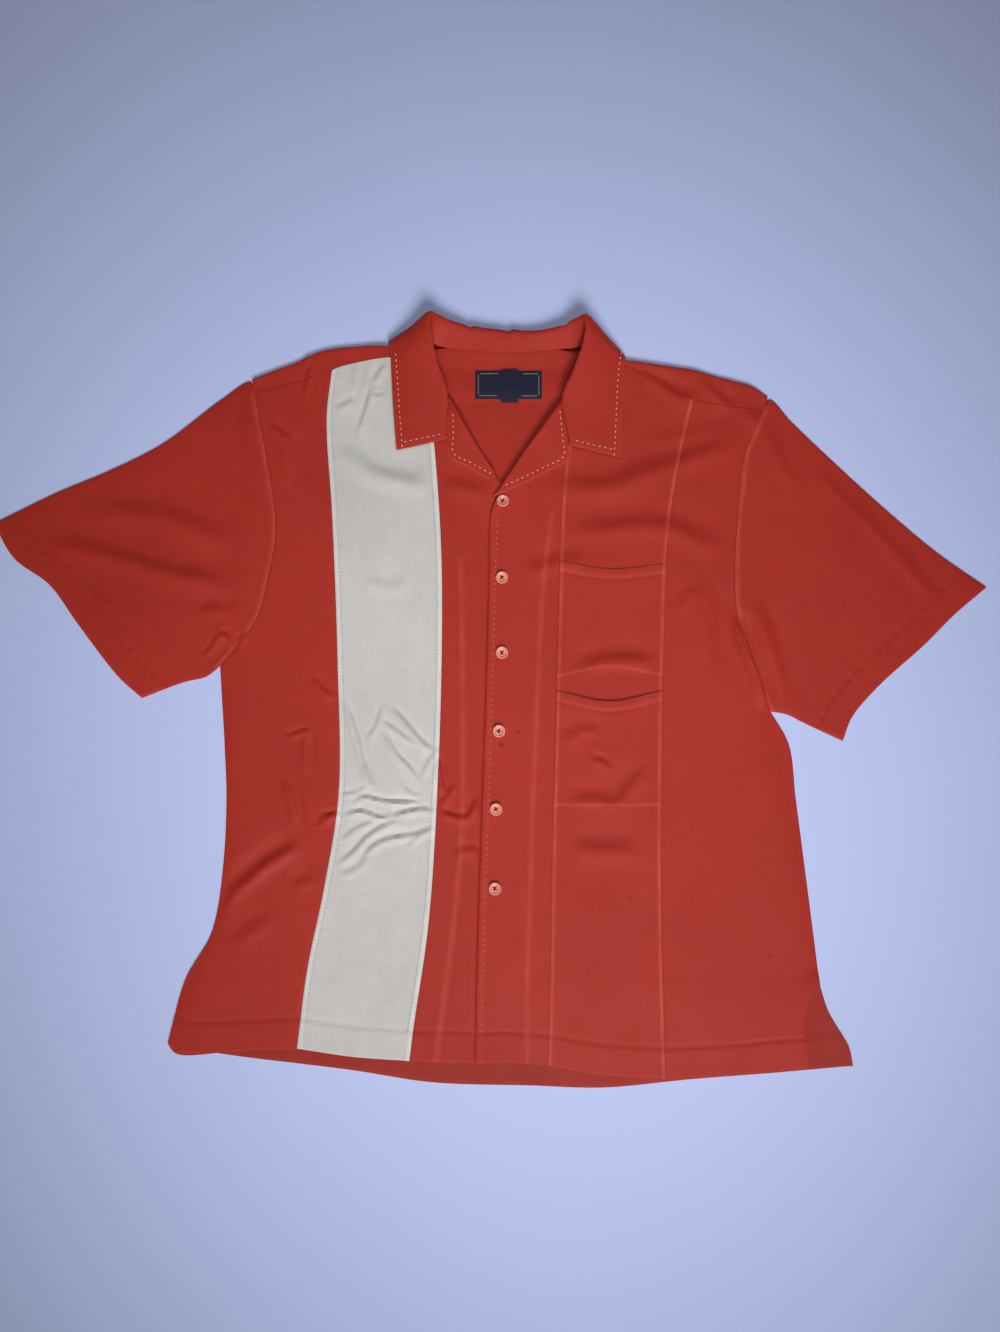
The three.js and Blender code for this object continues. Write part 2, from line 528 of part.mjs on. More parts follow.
function sleeve(name, table, flip) {
  const rows = SLEEVE_GRID.rows;
  const grid = patch({
    left: line(table.top, rows),
    right: line(table.bottom, rows),
    top: line(table.armhole, SLEEVE_GRID.across),
    bottom: line(table.hem, SLEEVE_GRID.across),
  });
  const rings = grid.map((section, i) => sleeveRing(section, 0.55 + 0.45 * Math.sin(
    Math.PI * Math.min(1, 0.3 + i / rows))));
  const facing = flip ? rings.map((ring) => [...ring].reverse()) : rings;
  add(name, clothWall([facing], WALL, true), COLOURS.body);
}

// The sleeve's armhole edge stays clear of the body by the seam gap.
const clear = (table, dx) => ({ ...table,
  armhole: table.armhole.map(([x, y]) => [x + dx, y]),
  top: [[table.top[0][0] + dx, table.top[0][1]], ...table.top.slice(1)],
  bottom: [[table.bottom[0][0] + dx, table.bottom[0][1]], ...table.bottom.slice(1)] });
sleeve('sleeve_right', clear(SLEEVE_RIGHT, -3 * SEAM_GAP), false);
sleeve('sleeve_left', clear(SLEEVE_LEFT, 2 * SEAM_GAP), true);

// ---- collar ---------------------------------------------------------------------------------
// Lofted through its sections: up the stand, over the roll and down the leaf.
const COLLAR_GRID = { stations: 28, across: 11 };
const columnOf = (key) => new THREE.CatmullRomCurve3(
  COLLAR.map((section) => new THREE.Vector3(...section[key])), false, 'centripetal');
const [neckRun, rollRun, leafRun, edgeRun] = ['neck', 'roll', 'leaf', 'edge'].map(columnOf);
const collar = range(COLLAR_GRID.stations).map((t) => {
  const [neck, roll, leaf, edge] = [neckRun, rollRun, leafRun, edgeRun].map((run) => run.getPoint(t));
  const profile = new THREE.CatmullRomCurve3([neck, roll, leaf, edge], false, 'centripetal');
  return profile.getSpacedPoints(COLLAR_GRID.across)
    .map((p) => p.setZ(Math.max(p.z, FLOOR)));
});
add('collar', clothWall([collar], WALL), COLOURS.body);

// ---- lapels ---------------------------------------------------------------------------------
// Each facing lies on its front from the free edge to the roll line, folds round the front's edge
// there, and returns a few millimetres under it.
const LAPEL_GRID = { across: 5, fold: 3, back: 5, ease: 0.6 };

function lapel(name, table, height, flip) {
  const sections = table.map(({ roll, out }) => {
    const rollPoint = new THREE.Vector3(roll[0], roll[1], 0);
    const outPoint = new THREE.Vector3(out[0], out[1], 0);
    const inward = outPoint.clone().sub(rollPoint).normalize();
    const level = height(roll[0], roll[1]);
    const radius = LAYER + LAPEL_GRID.ease;
    const centre = rollPoint.clone().addScaledVector(inward, radius + WALL / 2).setZ(level);
    const round = range(LAPEL_GRID.fold + 1).map((t) => {
      const angle = Math.PI * (0.5 - t);
      return centre.clone().addScaledVector(inward, -radius * Math.cos(angle))
        .setZ(level + radius * Math.sin(angle));
    });
    const over = range(LAPEL_GRID.across).slice(0, -1).map((t) => {
      const p = outPoint.clone().lerp(round[0], t);
      return p.setZ(height(p.x, p.y) + radius);
    });
    const reach = Math.min(LAPEL_GRID.back, outPoint.distanceTo(rollPoint) / 3);
    const under = round.at(-1).clone().addScaledVector(inward, reach);
    return [...over, ...round, under.setZ(height(under.x, under.y) - radius)];
  });
  add(name, clothWall([flip ? sections.map((row) => row.reverse()) : sections], WALL), COLOURS.body);
}
lapel('lapel_right', LAPEL_RIGHT, frontHeight, true);
lapel('lapel_left', LAPEL_LEFT, lapHeight, false);

// ---- neck label -----------------------------------------------------------------------------
// A woven label on the inside of the yoke, with a small size tab over it.
const LABELS = [
  { name: 'neck_label', x: [-15, 55], y: [337, 307], cols: 6, layer: 1 },
  { name: 'size_tab', x: [12, 30], y: [338, 303], cols: 2, layer: 2 },
];
for (const { name, x, y, cols, layer } of LABELS) {
  const grid = range(3).map((v) => range(cols).map((u) => {
    const p = new THREE.Vector3(mix(x[0], x[1], u), mix(y[0], y[1], v), 0);
    const lift = (WALL + LABEL_WALL) / 2 + LABEL_EASE + (layer - 1) * (LABEL_WALL + SEAM_GAP);
    return p.setZ(yokeHeight(p.x, p.y) + lift);
  }));
  add(name, clothWall([grid], LABEL_WALL), COLOURS.navy);
}

// ---- buttons --------------------------------------------------------------------------------
// A four-hole shirt button with a raised rim, lying flat on the placket.
const wasm = await Module();
wasm.setup();

function solid(geometry) {
  const bare = geometry.clone();
  bare.deleteAttribute('normal');
  bare.deleteAttribute('uv');
  const merged = mergeVertices(bare, 1e-4);
  return new wasm.Manifold(new wasm.Mesh({
    numProp: 3,
    vertProperties: new Float32Array(merged.attributes.position.array),
    triVerts: new Uint32Array(merged.index.array),
  }));
}

function toGeometry(manifold) {
  const mesh = manifold.getMesh();
  const geometry = new THREE.BufferGeometry();
  geometry.setAttribute('position', new THREE.Float32BufferAttribute(mesh.vertProperties, 3));
  geometry.setIndex([...mesh.triVerts]);
  return geometry;
}

function buttonGeometry() {
  const { radius, rim, base, edge, hole, pitch } = BUTTON;
  const profile = [[0, 0], [radius - 0.5, 0], [radius, 0.7], [radius, edge - 0.4],
    [radius - 0.5, edge], [radius - rim, edge - 0.1], [radius - rim - 0.9, base], [0, base]]
    .map(([r, z]) => new THREE.Vector2(r, z));
  const disc = new THREE.LatheGeometry(profile, 18).rotateX(Math.PI / 2);
  let button = solid(disc);
  for (const [sx, sy] of [[1, 1], [1, -1], [-1, 1], [-1, -1]]) {
    const drill = new THREE.CylinderGeometry(hole, hole, 3 * edge, 6).rotateX(Math.PI / 2)
      .translate(sx * pitch, sy * pitch, 0);
    button = button.subtract(solid(drill));
  }
  return toGeometry(button);
}

const buttonShape = buttonGeometry();
BUTTONS.forEach(([x, y], i) => {
  const lift = i === 0 ? 0.5 : 0.35;
  const button = add(`button_${i + 1}`, buttonShape.clone(), COLOURS.button, finish.button);
  button.position.set(x, y, lapHeight(x, y) + WALL / 2 + lift);
});

export default shirt;
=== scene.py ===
"""A camp-collar bowling shirt laid flat: its cloth, seams, stitches, buttons and stage.

The frame holds the shirt's solids.  Each cloth solid is replaced here by a thin shell on the
same form, made finely enough to carry its creases, seams and hems.  Lengths in the tables are
millimetres in the frame's own axes: x across, y from hem to collar, z up from the surface.
"""
import math

import bmesh
import bpy
import numpy as np
from bpy.props import FloatProperty, FloatVectorProperty, PointerProperty
from bpy.types import Operator, Panel, PropertyGroup
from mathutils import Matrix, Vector


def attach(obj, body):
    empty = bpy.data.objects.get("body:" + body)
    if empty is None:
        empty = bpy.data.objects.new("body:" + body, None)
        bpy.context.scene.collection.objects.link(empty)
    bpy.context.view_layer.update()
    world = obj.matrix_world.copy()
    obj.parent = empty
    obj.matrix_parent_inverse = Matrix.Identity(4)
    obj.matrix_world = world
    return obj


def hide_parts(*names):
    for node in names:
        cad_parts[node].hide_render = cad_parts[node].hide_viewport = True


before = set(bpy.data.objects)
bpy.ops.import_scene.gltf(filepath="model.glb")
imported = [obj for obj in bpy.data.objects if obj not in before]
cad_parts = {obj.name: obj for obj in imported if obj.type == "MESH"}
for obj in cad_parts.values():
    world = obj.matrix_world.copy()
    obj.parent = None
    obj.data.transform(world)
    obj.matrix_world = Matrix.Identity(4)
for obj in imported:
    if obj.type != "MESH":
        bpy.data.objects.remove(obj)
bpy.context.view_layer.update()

bl_info = {
    "name": "Laid Bowling Shirt",
    "version": (1, 0, 0),
    "blender": (4, 5, 0),
    "location": "View3D > Sidebar > Shirt",
    "description": "Cloth, seams, stitches and buttons of a short-sleeved camp-collar shirt",
    "category": "Add Mesh",
}

MM = 0.001

# ---- seam lines, (x, y) from the top of each line down ---------------------------------------
ARMHOLE_RIGHT = [(-247, 312), (-234, 249), (-222, 181), (-223, 148), (-229, 115), (-237, 80),
                 (-250, 57), (-277, 25)]
ARMHOLE_LEFT = [(288, 295), (268, 250), (257, 170), (254, 95), (261, 47), (276, 13), (288, -22)]
SIDE_RIGHT = [(-277, 25), (-275, 0), (-270, -61), (-267, -112), (-269, -180), (-279, -244),
              (-304, -290), (-320, -352)]
SIDE_LEFT = [(288, -22), (306, -55), (312, -112), (322, -207), (331, -295)]
VENT_FRONT = [(331, -295), (322, -303), (314, -330), (314, -346), (319, -376)]
VENT_BACK = [(331, -295), (339, -321), (352, -344), (359, -357), (362, -374)]
STRIPE_OUTER = [(-166, 337), (-171, 285), (-164, 186), (-156, 34), (-153, -106), (-166, -198),
                (-182, -281), (-191, -357)]
STRIPE_INNER = [(-68, 349), (-58, 260), (-50, 146), (-49, 30), (-53, -112), (-61, -237),
                (-75, -336), (-79, -369)]
UNDERLAP = [(13, 213), (25, 186), (24, 90), (21, -59), (15, -214), (11, -371)]
FRONT_EDGE = [(8, 201), (2, 185), (0, 126), (-2, 42), (-7, -116), (-12, -276), (-14, -371)]
POCKET_INNER = [(104, 341), (85, 274), (77, 220), (73, 149), (69, 21), (64, -142), (60, -311),
                (58, -373)]
POCKET_OUTER = [(215, 305), (197, 229), (185, 149), (181, 79), (175, -116), (174, -262),
                (176, -386)]
YOKE_RIGHT_SIDE = [(-247, 312), (-200, 325), (-166, 337)]
YOKE_RIGHT_STRIPE = [(-166, 337), (-157, 341), (-113, 350), (-68, 349)]
YOKE_LEFT_POCKET = [(104, 341), (140, 341), (158, 334), (182, 318), (215, 305)]
YOKE_LEFT_SIDE = [(215, 305), (253, 298), (288, 295)]
FACING_RIGHT = [(-30, 136), (-28, 31), (-27, -71), (-29, -159), (-37, -242), (-44, -295),
                (-53, -368)]
FACING_LEFT = [(65, 185), (56, 114), (50, 10), (45, -104), (41, -212), (38, -311), (38, -371)]
NECK_RIGHT = [(-68, 349), (-65, 331), (-49, 308), (-36.5, 291.5), (-18.5, 262.5), (-2.5, 237.5),
              (13, 213)]
NECK_LEFT = [(8, 201), (18.5, 217.5), (40.5, 249.5), (63.5, 283.5), (80, 303), (95, 325),
             (104, 341)]
NECK_BACK = [(-62, 359), (-50, 361), (-33, 361), (16, 357), (52, 358), (72, 360), (96, 355)]
SHOULDER_RIGHT = [(-250, 328), (-222, 339), (-206, 345), (-178, 358), (-125, 364), (-100, 362),
                  (-66, 361)]
SHOULDER_LEFT = [(293, 310), (275, 321), (249, 328), (215, 338), (180, 343), (150, 347.5),
                 (126, 348), (102, 351)]
BACK_YOKE_SEAM = [(-222.3, 176), (-60, 186), (96, 180), (256.4, 160)]
BACK_HEM = [(-319, -354), (-255, -364), (-138, -378), (-56, -390), (40, -393), (114, -395),
            (201, -387), (281, -381), (362, -374)]
SLEEVE_RIGHT = {
    "armhole": ARMHOLE_RIGHT,
    "top": [(-247, 312), (-252, 326), (-282, 307), (-343, 259), (-398, 230), (-451, 207),
            (-516, 174)],
    "hem": [(-516, 174), (-493, 137), (-455, 109), (-424, 68), (-380, 13), (-356, -8)],
    "bottom": [(-277, 25), (-291, 14), (-314, 8), (-356, -8)],
}
SLEEVE_LEFT = {
    "armhole": ARMHOLE_LEFT,
    "top": [(288, 295), (295, 307), (318, 282), (371, 229), (424, 179), (468, 141), (515, 107)],
    "hem": [(515, 107), (480, 78), (448, 47), (398, 3), (371, -28), (361, -52)],
    "bottom": [(288, -22), (305, -25), (321, -33), (361, -52)],
}
# pocket mouths and feet: y at the inner seam, the middle and the outer seam
POCKETS = {
    "pocket_upper": {"mouth": (133, 125, 131), "foot": (13, 23, 14), "gape": 0.6},
    "pocket_lower": {"mouth": (-1, -12, -1), "foot": (-118, -118, -118), "gape": 1.6},
}
BUTTONS = [(14, 196), (13, 116), (13, 38), (10, -42), (7, -121), (6, -200)]
LABELS = {
    "neck_label": {"x": (-15, 55), "y": (337, 307), "lift": 1.1},
    "size_tab": {"x": (12, 30), "y": (338, 303), "lift": 2.1},
}

# The collar's sections, wearer's right notch to left: neckline, roll, middle of the leaf, edge.
COLLAR = [
    ((-46, 262, 6.8), (-44, 262, 8.4), (-70, 256, 8.4), (-97, 250.5, 7)),
    ((-47, 286, 8), (-44, 288, 10.6), (-71, 282, 10), (-99, 275, 7.8)),
    ((-49, 308, 10), (-44, 312, 14), (-72, 306, 12.5), (-101, 301, 8.6)),
    ((-65, 330, 12), (-54.5, 341, 21), (-80, 333, 16), (-102.5, 328, 9.5)),
    ((-68, 348, 12.5), (-60, 367, 27), (-84, 356, 20), (-103.5, 350, 11.2)),
    ((-66, 360, 12), (-61.5, 384, 28), (-85, 371, 19), (-105, 364, 10.5)),
    ((-59, 363.5, 10), (-60, 391, 27), (-84, 379.5, 13.5), (-107, 368, 4)),
    ((-52, 361.5, 8.2), (-53, 390, 21), (-80, 380, 4), (-98, 348, 0.6)),
    ((-40, 359.5, 6.9), (-40, 386, 16), (-52, 385, 3), (-70, 334, 0.6)),
    ((-16, 357.5, 6.4), (-16, 380, 12.5), (-22, 382, 2.6), (-32, 326, 0.6)),
    ((16, 355.5, 6.3), (16, 377, 11.5), (16, 379, 2.4), (16, 323, 0.6)),
    ((48, 356.5, 6.4), (48, 376, 12), (54, 378, 2.6), (64, 325, 0.6)),
    ((74, 359, 6.9), (73, 380, 15.5), (84, 379, 3), (102, 333, 0.6)),
    ((87, 359.5, 8.4), (90, 386, 21), (113, 371, 4), (132, 340, 0.6)),
    ((96, 360, 10), (98.5, 388, 27), (122, 371, 13.5), (143, 352, 4)),
    ((104, 356, 12), (100, 378, 28), (122, 362, 19), (141.5, 345, 10.5)),
    ((105, 344, 12.5), (97.5, 361, 26), (119, 350, 19), (140.5, 336, 10)),
    ((96, 326, 12), (87.5, 333, 20.5), (114, 324, 15.5), (139.5, 314, 8.8)),
    ((80, 300, 10), (75.5, 304, 14), (107, 299, 12.5), (138.5, 289, 8.4)),
    ((82, 277, 8), (79.5, 279, 10.6), (108, 273, 10), (137.5, 266, 7.8)),
    ((86, 254, 6.8), (84, 255, 8.4), (110, 248.5, 8.4), (136, 242.5, 7)),
]

# The lapels' sections from the vee up: a point on the roll line, one on the free edge or the
# gorge seam, and how high the roll stands.
LAPELS = {
    "lapel_right": [
        ((6, 228), (-1, 219.5), 5.6), ((-3, 241), (-22, 232), 6.6), ((-13, 257), (-43, 244), 8),
        ((-24, 277), (-43, 262), 9.8), ((-33, 293), (-43.2, 286), 11.8),
        ((-41, 306), (-43.8, 304), 13.6),
    ],
    "lapel_left": [
        ((6.5, 204), (3.8, 200.5), 6.4), ((15.5, 218), (24, 209), 7), ((26, 234), (44, 219), 7.6),
        ((38, 252), (62, 229), 8.4), ((50, 270), (83, 241), 9.4), ((61, 286), (82.5, 255), 10.8),
        ((69, 297), (79.5, 279), 12.4), ((74, 304), (77, 300), 13.6),
    ],
}

# ---- creases ---------------------------------------------------------------------------------
# Each row: the run of the crease, its half width and its rise.  The crest stands on the side
# nearer the light and a softer trough lies on the other, so the run itself is in shade.
CREASES = [
    # wearer's right sleeve
    ([(-433, 199), (-376, 194), (-334, 189), (-302, 176), (-262, 149)], 13, 2.2),
    ([(-474, 167), (-426, 155), (-374, 141), (-327, 127), (-285, 118), (-253, 104)], 12, 2.6),
    ([(-420, 115), (-404, 100), (-388, 83)], 5, 1.1),
    ([(-262, 34), (-266, 52), (-279, 62)], 5, 4.2),
    ([(-302, 80), (-292, 86), (-278, 86), (-268, 78)], 8, 1.3),
    ([(-297, 34), (-286, 46), (-280, 60)], 5, 1.2),
    ([(-268, 30), (-262, 46), (-250, 62)], 5, 1.6),
    # right shoulder
    ([(-266, 317), (-268, 280)], 7, 1.3),
    ([(-188, 350), (-194, 322), (-196, 307)], 5, 1.0),
    ([(-226, 280), (-210, 263)], 6, 1.1),
    ([(-207, 274), (-206, 240), (-203, 210)], 8, 1.1),
    # top of the stripe
    ([(-137, 345), (-139, 307)], 5, 1.1),
    ([(-124, 323), (-130, 300), (-139, 269)], 4.5, 1.9),
    ([(-111, 345), (-124, 323)], 5, 1.2),
    ([(-126, 309), (-110, 312)], 4, 0.8),
    ([(-163, 296), (-142, 307)], 6, 1.0),
    ([(-145, 263), (-125, 237), (-94, 226), (-59, 220)], 12, 2.6),
    ([(-52, 220), (-25, 216), (1, 208)], 9, 1.5),
    ([(-129, 120), (-108, 111), (-82, 115)], 8, 0.8),
    # right side
    ([(-180, 15), (-170, 2), (-157, -8)], 5, 1.6),
    ([(-208, -47), (-194, -42), (-183, -39)], 4, 1.4),
    ([(-183, -39), (-184, -63), (-182, -88)], 5, 1.5),
    ([(-207, -88), (-199, -104), (-193, -128), (-191, -138)], 6.5, 1.8),
    ([(-176, -128), (-156, -125), (-149, -128)], 4, 1.4),
    ([(-276, -226), (-258, -200), (-244, -188), (-228, -174), (-206, -160), (-187, -148)], 7.5, 2.6),
    ([(-177, -137), (-157, -124)], 5, 1.1),
    ([(-201, -197), (-176, -187)], 7, 1.1),
    ([(-262, -255), (-238, -236), (-215, -226)], 9, 1.0),
    # stripe at the waist
    ([(-148, -6), (-139, -31), (-130, -59), (-127, -73), (-119, -91), (-111, -97)], 5.5, 2.4),
    ([(-109, -11), (-116, -35), (-127, -52)], 4, 1.2),
    ([(-100, -14), (-83, -35), (-67, -53), (-52, -64)], 4.5, 2.2),
    ([(-110, -29), (-91, -43), (-72, -56)], 4, 1.6),
    ([(-104, -43), (-95, -63), (-79, -80), (-71, -94)], 4, 2.1),
    ([(-51, -57), (-62, -71), (-71, -91)], 3.5, 1.2),
    ([(-122, -76), (-124, -90), (-115, -98)], 3.5, 1.2),
    ([(-91, -90), (-83, -102), (-66, -108)], 4, 1.0),
    ([(-151, -105), (-134, -103), (-126, -97)], 3.5, 1.2),
    ([(-140, -121), (-131, -108), (-107, -112), (-83, -113), (-60, -114)], 4, 1.9),
    ([(-151, -128), (-131, -122), (-112, -128), (-103, -128), (-105, -115)], 4, 1.9),
    ([(-106, -131), (-89, -124), (-68, -120), (-53, -123)], 4.5, 2.3),
    ([(-157, -178), (-138, -163), (-123, -147), (-103, -135), (-80, -130)], 4.5, 2.0),
    ([(-133, -176), (-118, -157), (-99, -149), (-78, -146), (-56, -137)], 4.5, 2.0),
    ([(-86, -160), (-72, -148), (-56, -137)], 4, 1.3),
    ([(-151, -152), (-132, -138), (-113, -132)], 4, 1.3),
    ([(-152, -186), (-136, -180), (-120, -166)], 5, 1.0),
    # right inner panel
    ([(-53, -121), (-38, -126), (-24, -128), (-13, -112)], 4.5, 1.9),
    ([(-52, -118), (-45, -108), (-34, -94)], 4, 1.4),
    ([(-50, -66), (-47, -92), (-42, -108)], 5, 1.5),
    ([(-20, -122), (-11, -107)], 5, 1.0),
    ([(-38, -165), (-24, -160), (-9, -160)], 6, 1.1),
    # left chest
    ([(42, 215), (74, 220), (126, 220), (158, 233), (200, 247), (242, 263), (274, 280)], 13, 2.2),
    ([(158, 263), (211, 274), (264, 285)], 10, 1.1),
    ([(74, 173), (115, 173), (157, 178), (199, 173), (219, 162), (256, 156)], 12, 2.0),
    ([(32, 125), (73, 138), (105, 141)], 9, 1.3),
    ([(234, 115), (230, 52), (225, 21)], 12, 1.4),
    ([(208, 109), (192, 83)], 8, 0.9),
    # left shoulder
    ([(159, 341), (185, 323), (201, 312), (222, 312)], 8, 1.5),
    ([(228, 334), (238, 317), (259, 296)], 7, 1.4),
    ([(264, 307), (285, 285), (300, 263), (315, 231), (330, 210)], 9, 1.8),
    # left sleeve
    ([(326, 253), (377, 199), (427, 146), (467, 94), (480, 78)], 9, 1.8),
    ([(275, 99), (285, 73), (295, 42), (304, 0), (313, -31)], 10, 2.2),
    ([(256, 84), (262, 60), (267, 42), (276, 19), (289, -24)], 7, 4.2),
    ([(258, 70), (263, 57), (268, 40), (277, 18), (288, -20)], 4, 2.6),
    # pockets
    ([(88, 16), (104, 31), (135, 36), (166, 31), (174, 23)], 9, 1.9),
    ([(75, -51), (93, -39), (103, -38), (113, -46)], 7, 1.2),
    ([(103, -68), (118, -73), (125, -82)], 6, 1.2),
    ([(72, -112), (103, -107), (128, -110), (144, -92), (164, -71)], 8, 1.5),
    ([(82, -152), (112, -157), (153, -155)], 11, 1.7),
]

# ---- sizes -----------------------------------------------------------------------------------
CLOTH = 0.7                     # thickness of one cloth, mm
ON_FLOOR = CLOTH / 2            # middle of a cloth that lies on the surface
PLY = 0.95                      # one cloth lying on another, middle to middle
SEAM_GAP = 0.3                  # clear space between two pieces that are sewn together
SIDE_LIE = ON_FLOOR + 0.75      # middle of the fronts at the side seams
HEM_LIE = 1.7                   # at the hem
FRONT_LIE = 3.0                 # and where they lie open, over the air held in the body
LIGHT_RUN = (0.1, 1.0)          # which way, over the cloth, the light travels
# the sides of the body: how far out, the flare at the hem and the y it starts and ends at
SIDES = {"right": (270, 48, -200, -360), "left": (292, 36, 20, -300)}
# the left front over the right one: its rise, the x it fades between, and a little more at the vee
LAP = {"rise": 2.0, "fades": (28, 62), "vee": (150, 205), "vee_rise": 0.5}
UNDERLAP_DIP = {"depth": 1.8, "starts": (-3.8, -0.6), "ends": (3, 14)}
NECK = {"x": 17, "vee": 215, "low": 150, "high": 330, "reach": 78, "lift": 4.6, "spread": 0.62}
SHOULDER = {"low": 255, "high": 345, "lift": 1.5}
YOKE_LIFT = {"low": 300, "high": 336, "reach": 150, "lift": 1.7, "rise": 3.1}
HEM_RIGHT = {
    "side": [(-320, -352), (-311, -362), (-255, -360), (-191, -357)],
    "stripe": [(-191, -357), (-135, -365), (-79, -369)],
    "inner": [(-79, -369), (-14, -371), (11, -371)],
}
HEM_LEFT = {
    "placket": [(-14, -371), (21, -370), (58, -373)],
    "pocket": [(58, -373), (109, -382), (176, -386)],
    "side": [(176, -386), (241, -383), (319, -376)],
}
FRONT_HEM = (HEM_RIGHT["side"] + HEM_RIGHT["stripe"][1:] + HEM_RIGHT["inner"][1:2]
             + HEM_LEFT["placket"][1:] + HEM_LEFT["pocket"][1:] + HEM_LEFT["side"][1:])
SHARP = 7                       # creases narrower than this have a sharp crest
# a crease across its run, in half widths: the crest's place and width, then the trough's share
# of the rise, its place and its width
SHARP_CREASE = (0.6, 0.75, 0.85, 0.4, 0.65)
SOFT_CREASE = (0.75, 0.9, 0.75, 0.8, 1.2)
HEM_WIDTH = 29
HEM_TURN = {"ply": 0.45, "stitch": 0.7, "ridge": 0.15}
VENT_FACING = 12                # width of the facing turned in along the back's vent
VENT_LIFT = {"rise": 2.2, "reach": 15, "above": 22}   # the front's edge, held off the back
SLEEVE_HEM = 27
SLEEVE_PUFF = 1.9
SLEEVE_CLEAR = 0.2              # from the armhole seam to the sleeve
POCKET_INSET = 0.6              # from the panel's seam to the pocket's edge
COLLAR_ACROSS = 46
COLLAR_WALL = 0.9               # collar cloth is fused, so it is thicker
COLLAR_PLEATS = [(-21, 1.6), (19, 2.0), (80, 1.6)]    # x and depth of the creases in the stand
PICK_INSET = 6.5                # from an edge to its row of pick stitches
STRIPE_INSET = 5.5              # from the stripe's seams to its own stitches
STITCH_SEED = 5
LABEL_WALL = 0.6
BORDER_INSET = 3.2              # from the neck label's edge to its woven border
BUTTON_STEPS = 48
BUTTON_LIFT = 0.35              # the thread holds each button this far off the placket
BUTTON_TURNS = (20, -6, 4, 38, -10, 14)
BUTTON_LEANS = (-7, 1, -1, 2, 1, -2)
HOLE_SIDES = ((1, 1), (1, -1), (-1, 1), (-1, -1))
# faint marks on the body: x, y, size and how dark
STAINS = [(29, -43, 1.6, 0.75), (13, -56, 3.2, 0.55), (282, -266, 2.2, 0.6), (142, -209, 1.6, 0.5)]
STAIN_COLOUR = (0.045, 0.012, 0.012)
WAVE_SCALE = 0.314              # the wave texture's scale for one band to the metre
CAMERA_OVER = (0.011, 0.025)    # x and y the camera looks at, in metres
ROOM_COLOUR = (0.86, 0.9, 1.0)
LAMP_SPREAD = math.radians(54)
# name, place and aim in metres, width, watts, colour
STAGE_LIGHTS = [
    ("key", (0.36, -1.75, 1.75), (0.0, 0.15, 0.0), 1.2, 6.3, (1.0, 0.985, 0.97)),
    ("overhead", (0.1, 0.1, 1.5), (0.05, 0.05, 0.0), 1.0, 0.9, (0.97, 0.98, 1.0)),
]
LAPEL = {"across": 26, "round": 8, "under": 3, "return": 5, "lie": 1.0}
BUTTON = {"radius": 6.35, "rim": 1.3, "base": 1.7, "edge": 2.8, "hole": 0.75, "pitch": 1.5}


# ---- small maths -----------------------------------------------------------------------------
def mix(a, b, t):
    return a + (b - a) * t


def smooth(low, high, value):
    t = np.clip((value - low) / (high - low), 0, 1)
    return t * t * (3 - 2 * t)


def bell(distance, width):
    return np.exp(-(distance / width) ** 2)


def evenly(points, count):
    """The same run of points, as count + 1 points with equal spacing."""
    steps = np.linalg.norm(np.diff(points, axis=0), axis=1)
    reach = np.concatenate([[0], np.cumsum(steps)])
    wanted = np.linspace(0, reach[-1], count + 1)
    return np.stack([np.interp(wanted, reach, axis) for axis in points.T], axis=-1)


def through(rows, each):
    """A smooth curve through the rows of a table, with the same number of points between rows."""
    points = np.asarray(rows, float)
    run = np.vstack([2 * points[0] - points[1], points, 2 * points[-1] - points[-2]])
    t = np.linspace(0, 1, each, endpoint=False)[:, None]
    parts = []
    for p0, p1, p2, p3 in zip(run, run[1:], run[2:], run[3:]):
        d0, d1, d2 = (np.linalg.norm(b - a) ** 0.5 for a, b in ((p0, p1), (p1, p2), (p2, p3)))
        start = ((p1 - p0) / d0 - (p2 - p0) / (d0 + d1) + (p2 - p1) / d1) * d1
        end = ((p2 - p1) / d1 - (p3 - p1) / (d1 + d2) + (p3 - p2) / d2) * d1
        parts.append((2 * t**3 - 3 * t**2 + 1) * p1 + (t**3 - 2 * t**2 + t) * start
                     + (3 * t**2 - 2 * t**3) * p2 + (t**3 - t**2) * end)
    return np.vstack(parts + [points[-1:]])


def line(rows, count):
    """A smooth line through the rows of a table, as count + 1 evenly spaced points."""
    return evenly(through(rows, 24), count)


def join(first, second):
    return np.vstack([first, second[1:]])


def length(rows):
    points = np.asarray(rows, float)
    return np.linalg.norm(np.diff(points, axis=0), axis=1).sum()


def patch(left, right, top, bottom):
    """Fills in between four lines that share their corners: left and right run down."""
    v = np.linspace(0, 1, len(left))[:, None, None]
    u = np.linspace(0, 1, len(top))[None, :, None]
    sides = mix(left[:, None], right[:, None], u) + mix(top[None], bottom[None], v)
    return sides - mix(mix(top[0], top[-1], u), mix(bottom[0], bottom[-1], u), v)


def beside(rows, x, y):
    """Distance from a run, above zero on its left, and how far along it the nearest point is."""
    run = np.asarray(rows, float)
    steps = np.diff(run, axis=0)
    lengths = np.hypot(steps[:, 0], steps[:, 1])
    best = np.full(np.shape(x), 1e9)
    side = np.ones(np.shape(x))
    part = np.zeros(np.shape(x))
    done = 0.0
    for (px, py), (dx, dy), size in zip(run, steps, lengths):
        t = np.clip(((x - px) * dx + (y - py) * dy) / size**2, 0, 1)
        away_x = x - px - t * dx
        away_y = y - py - t * dy
        distance = np.hypot(away_x, away_y)
        nearer = distance < best
        best = np.where(nearer, distance, best)
        side = np.where(nearer, np.where(dx * away_y - dy * away_x < 0, -1.0, 1.0), side)
        part = np.where(nearer, (done + t * size) / lengths.sum(), part)
        done += size
    return best * side, part


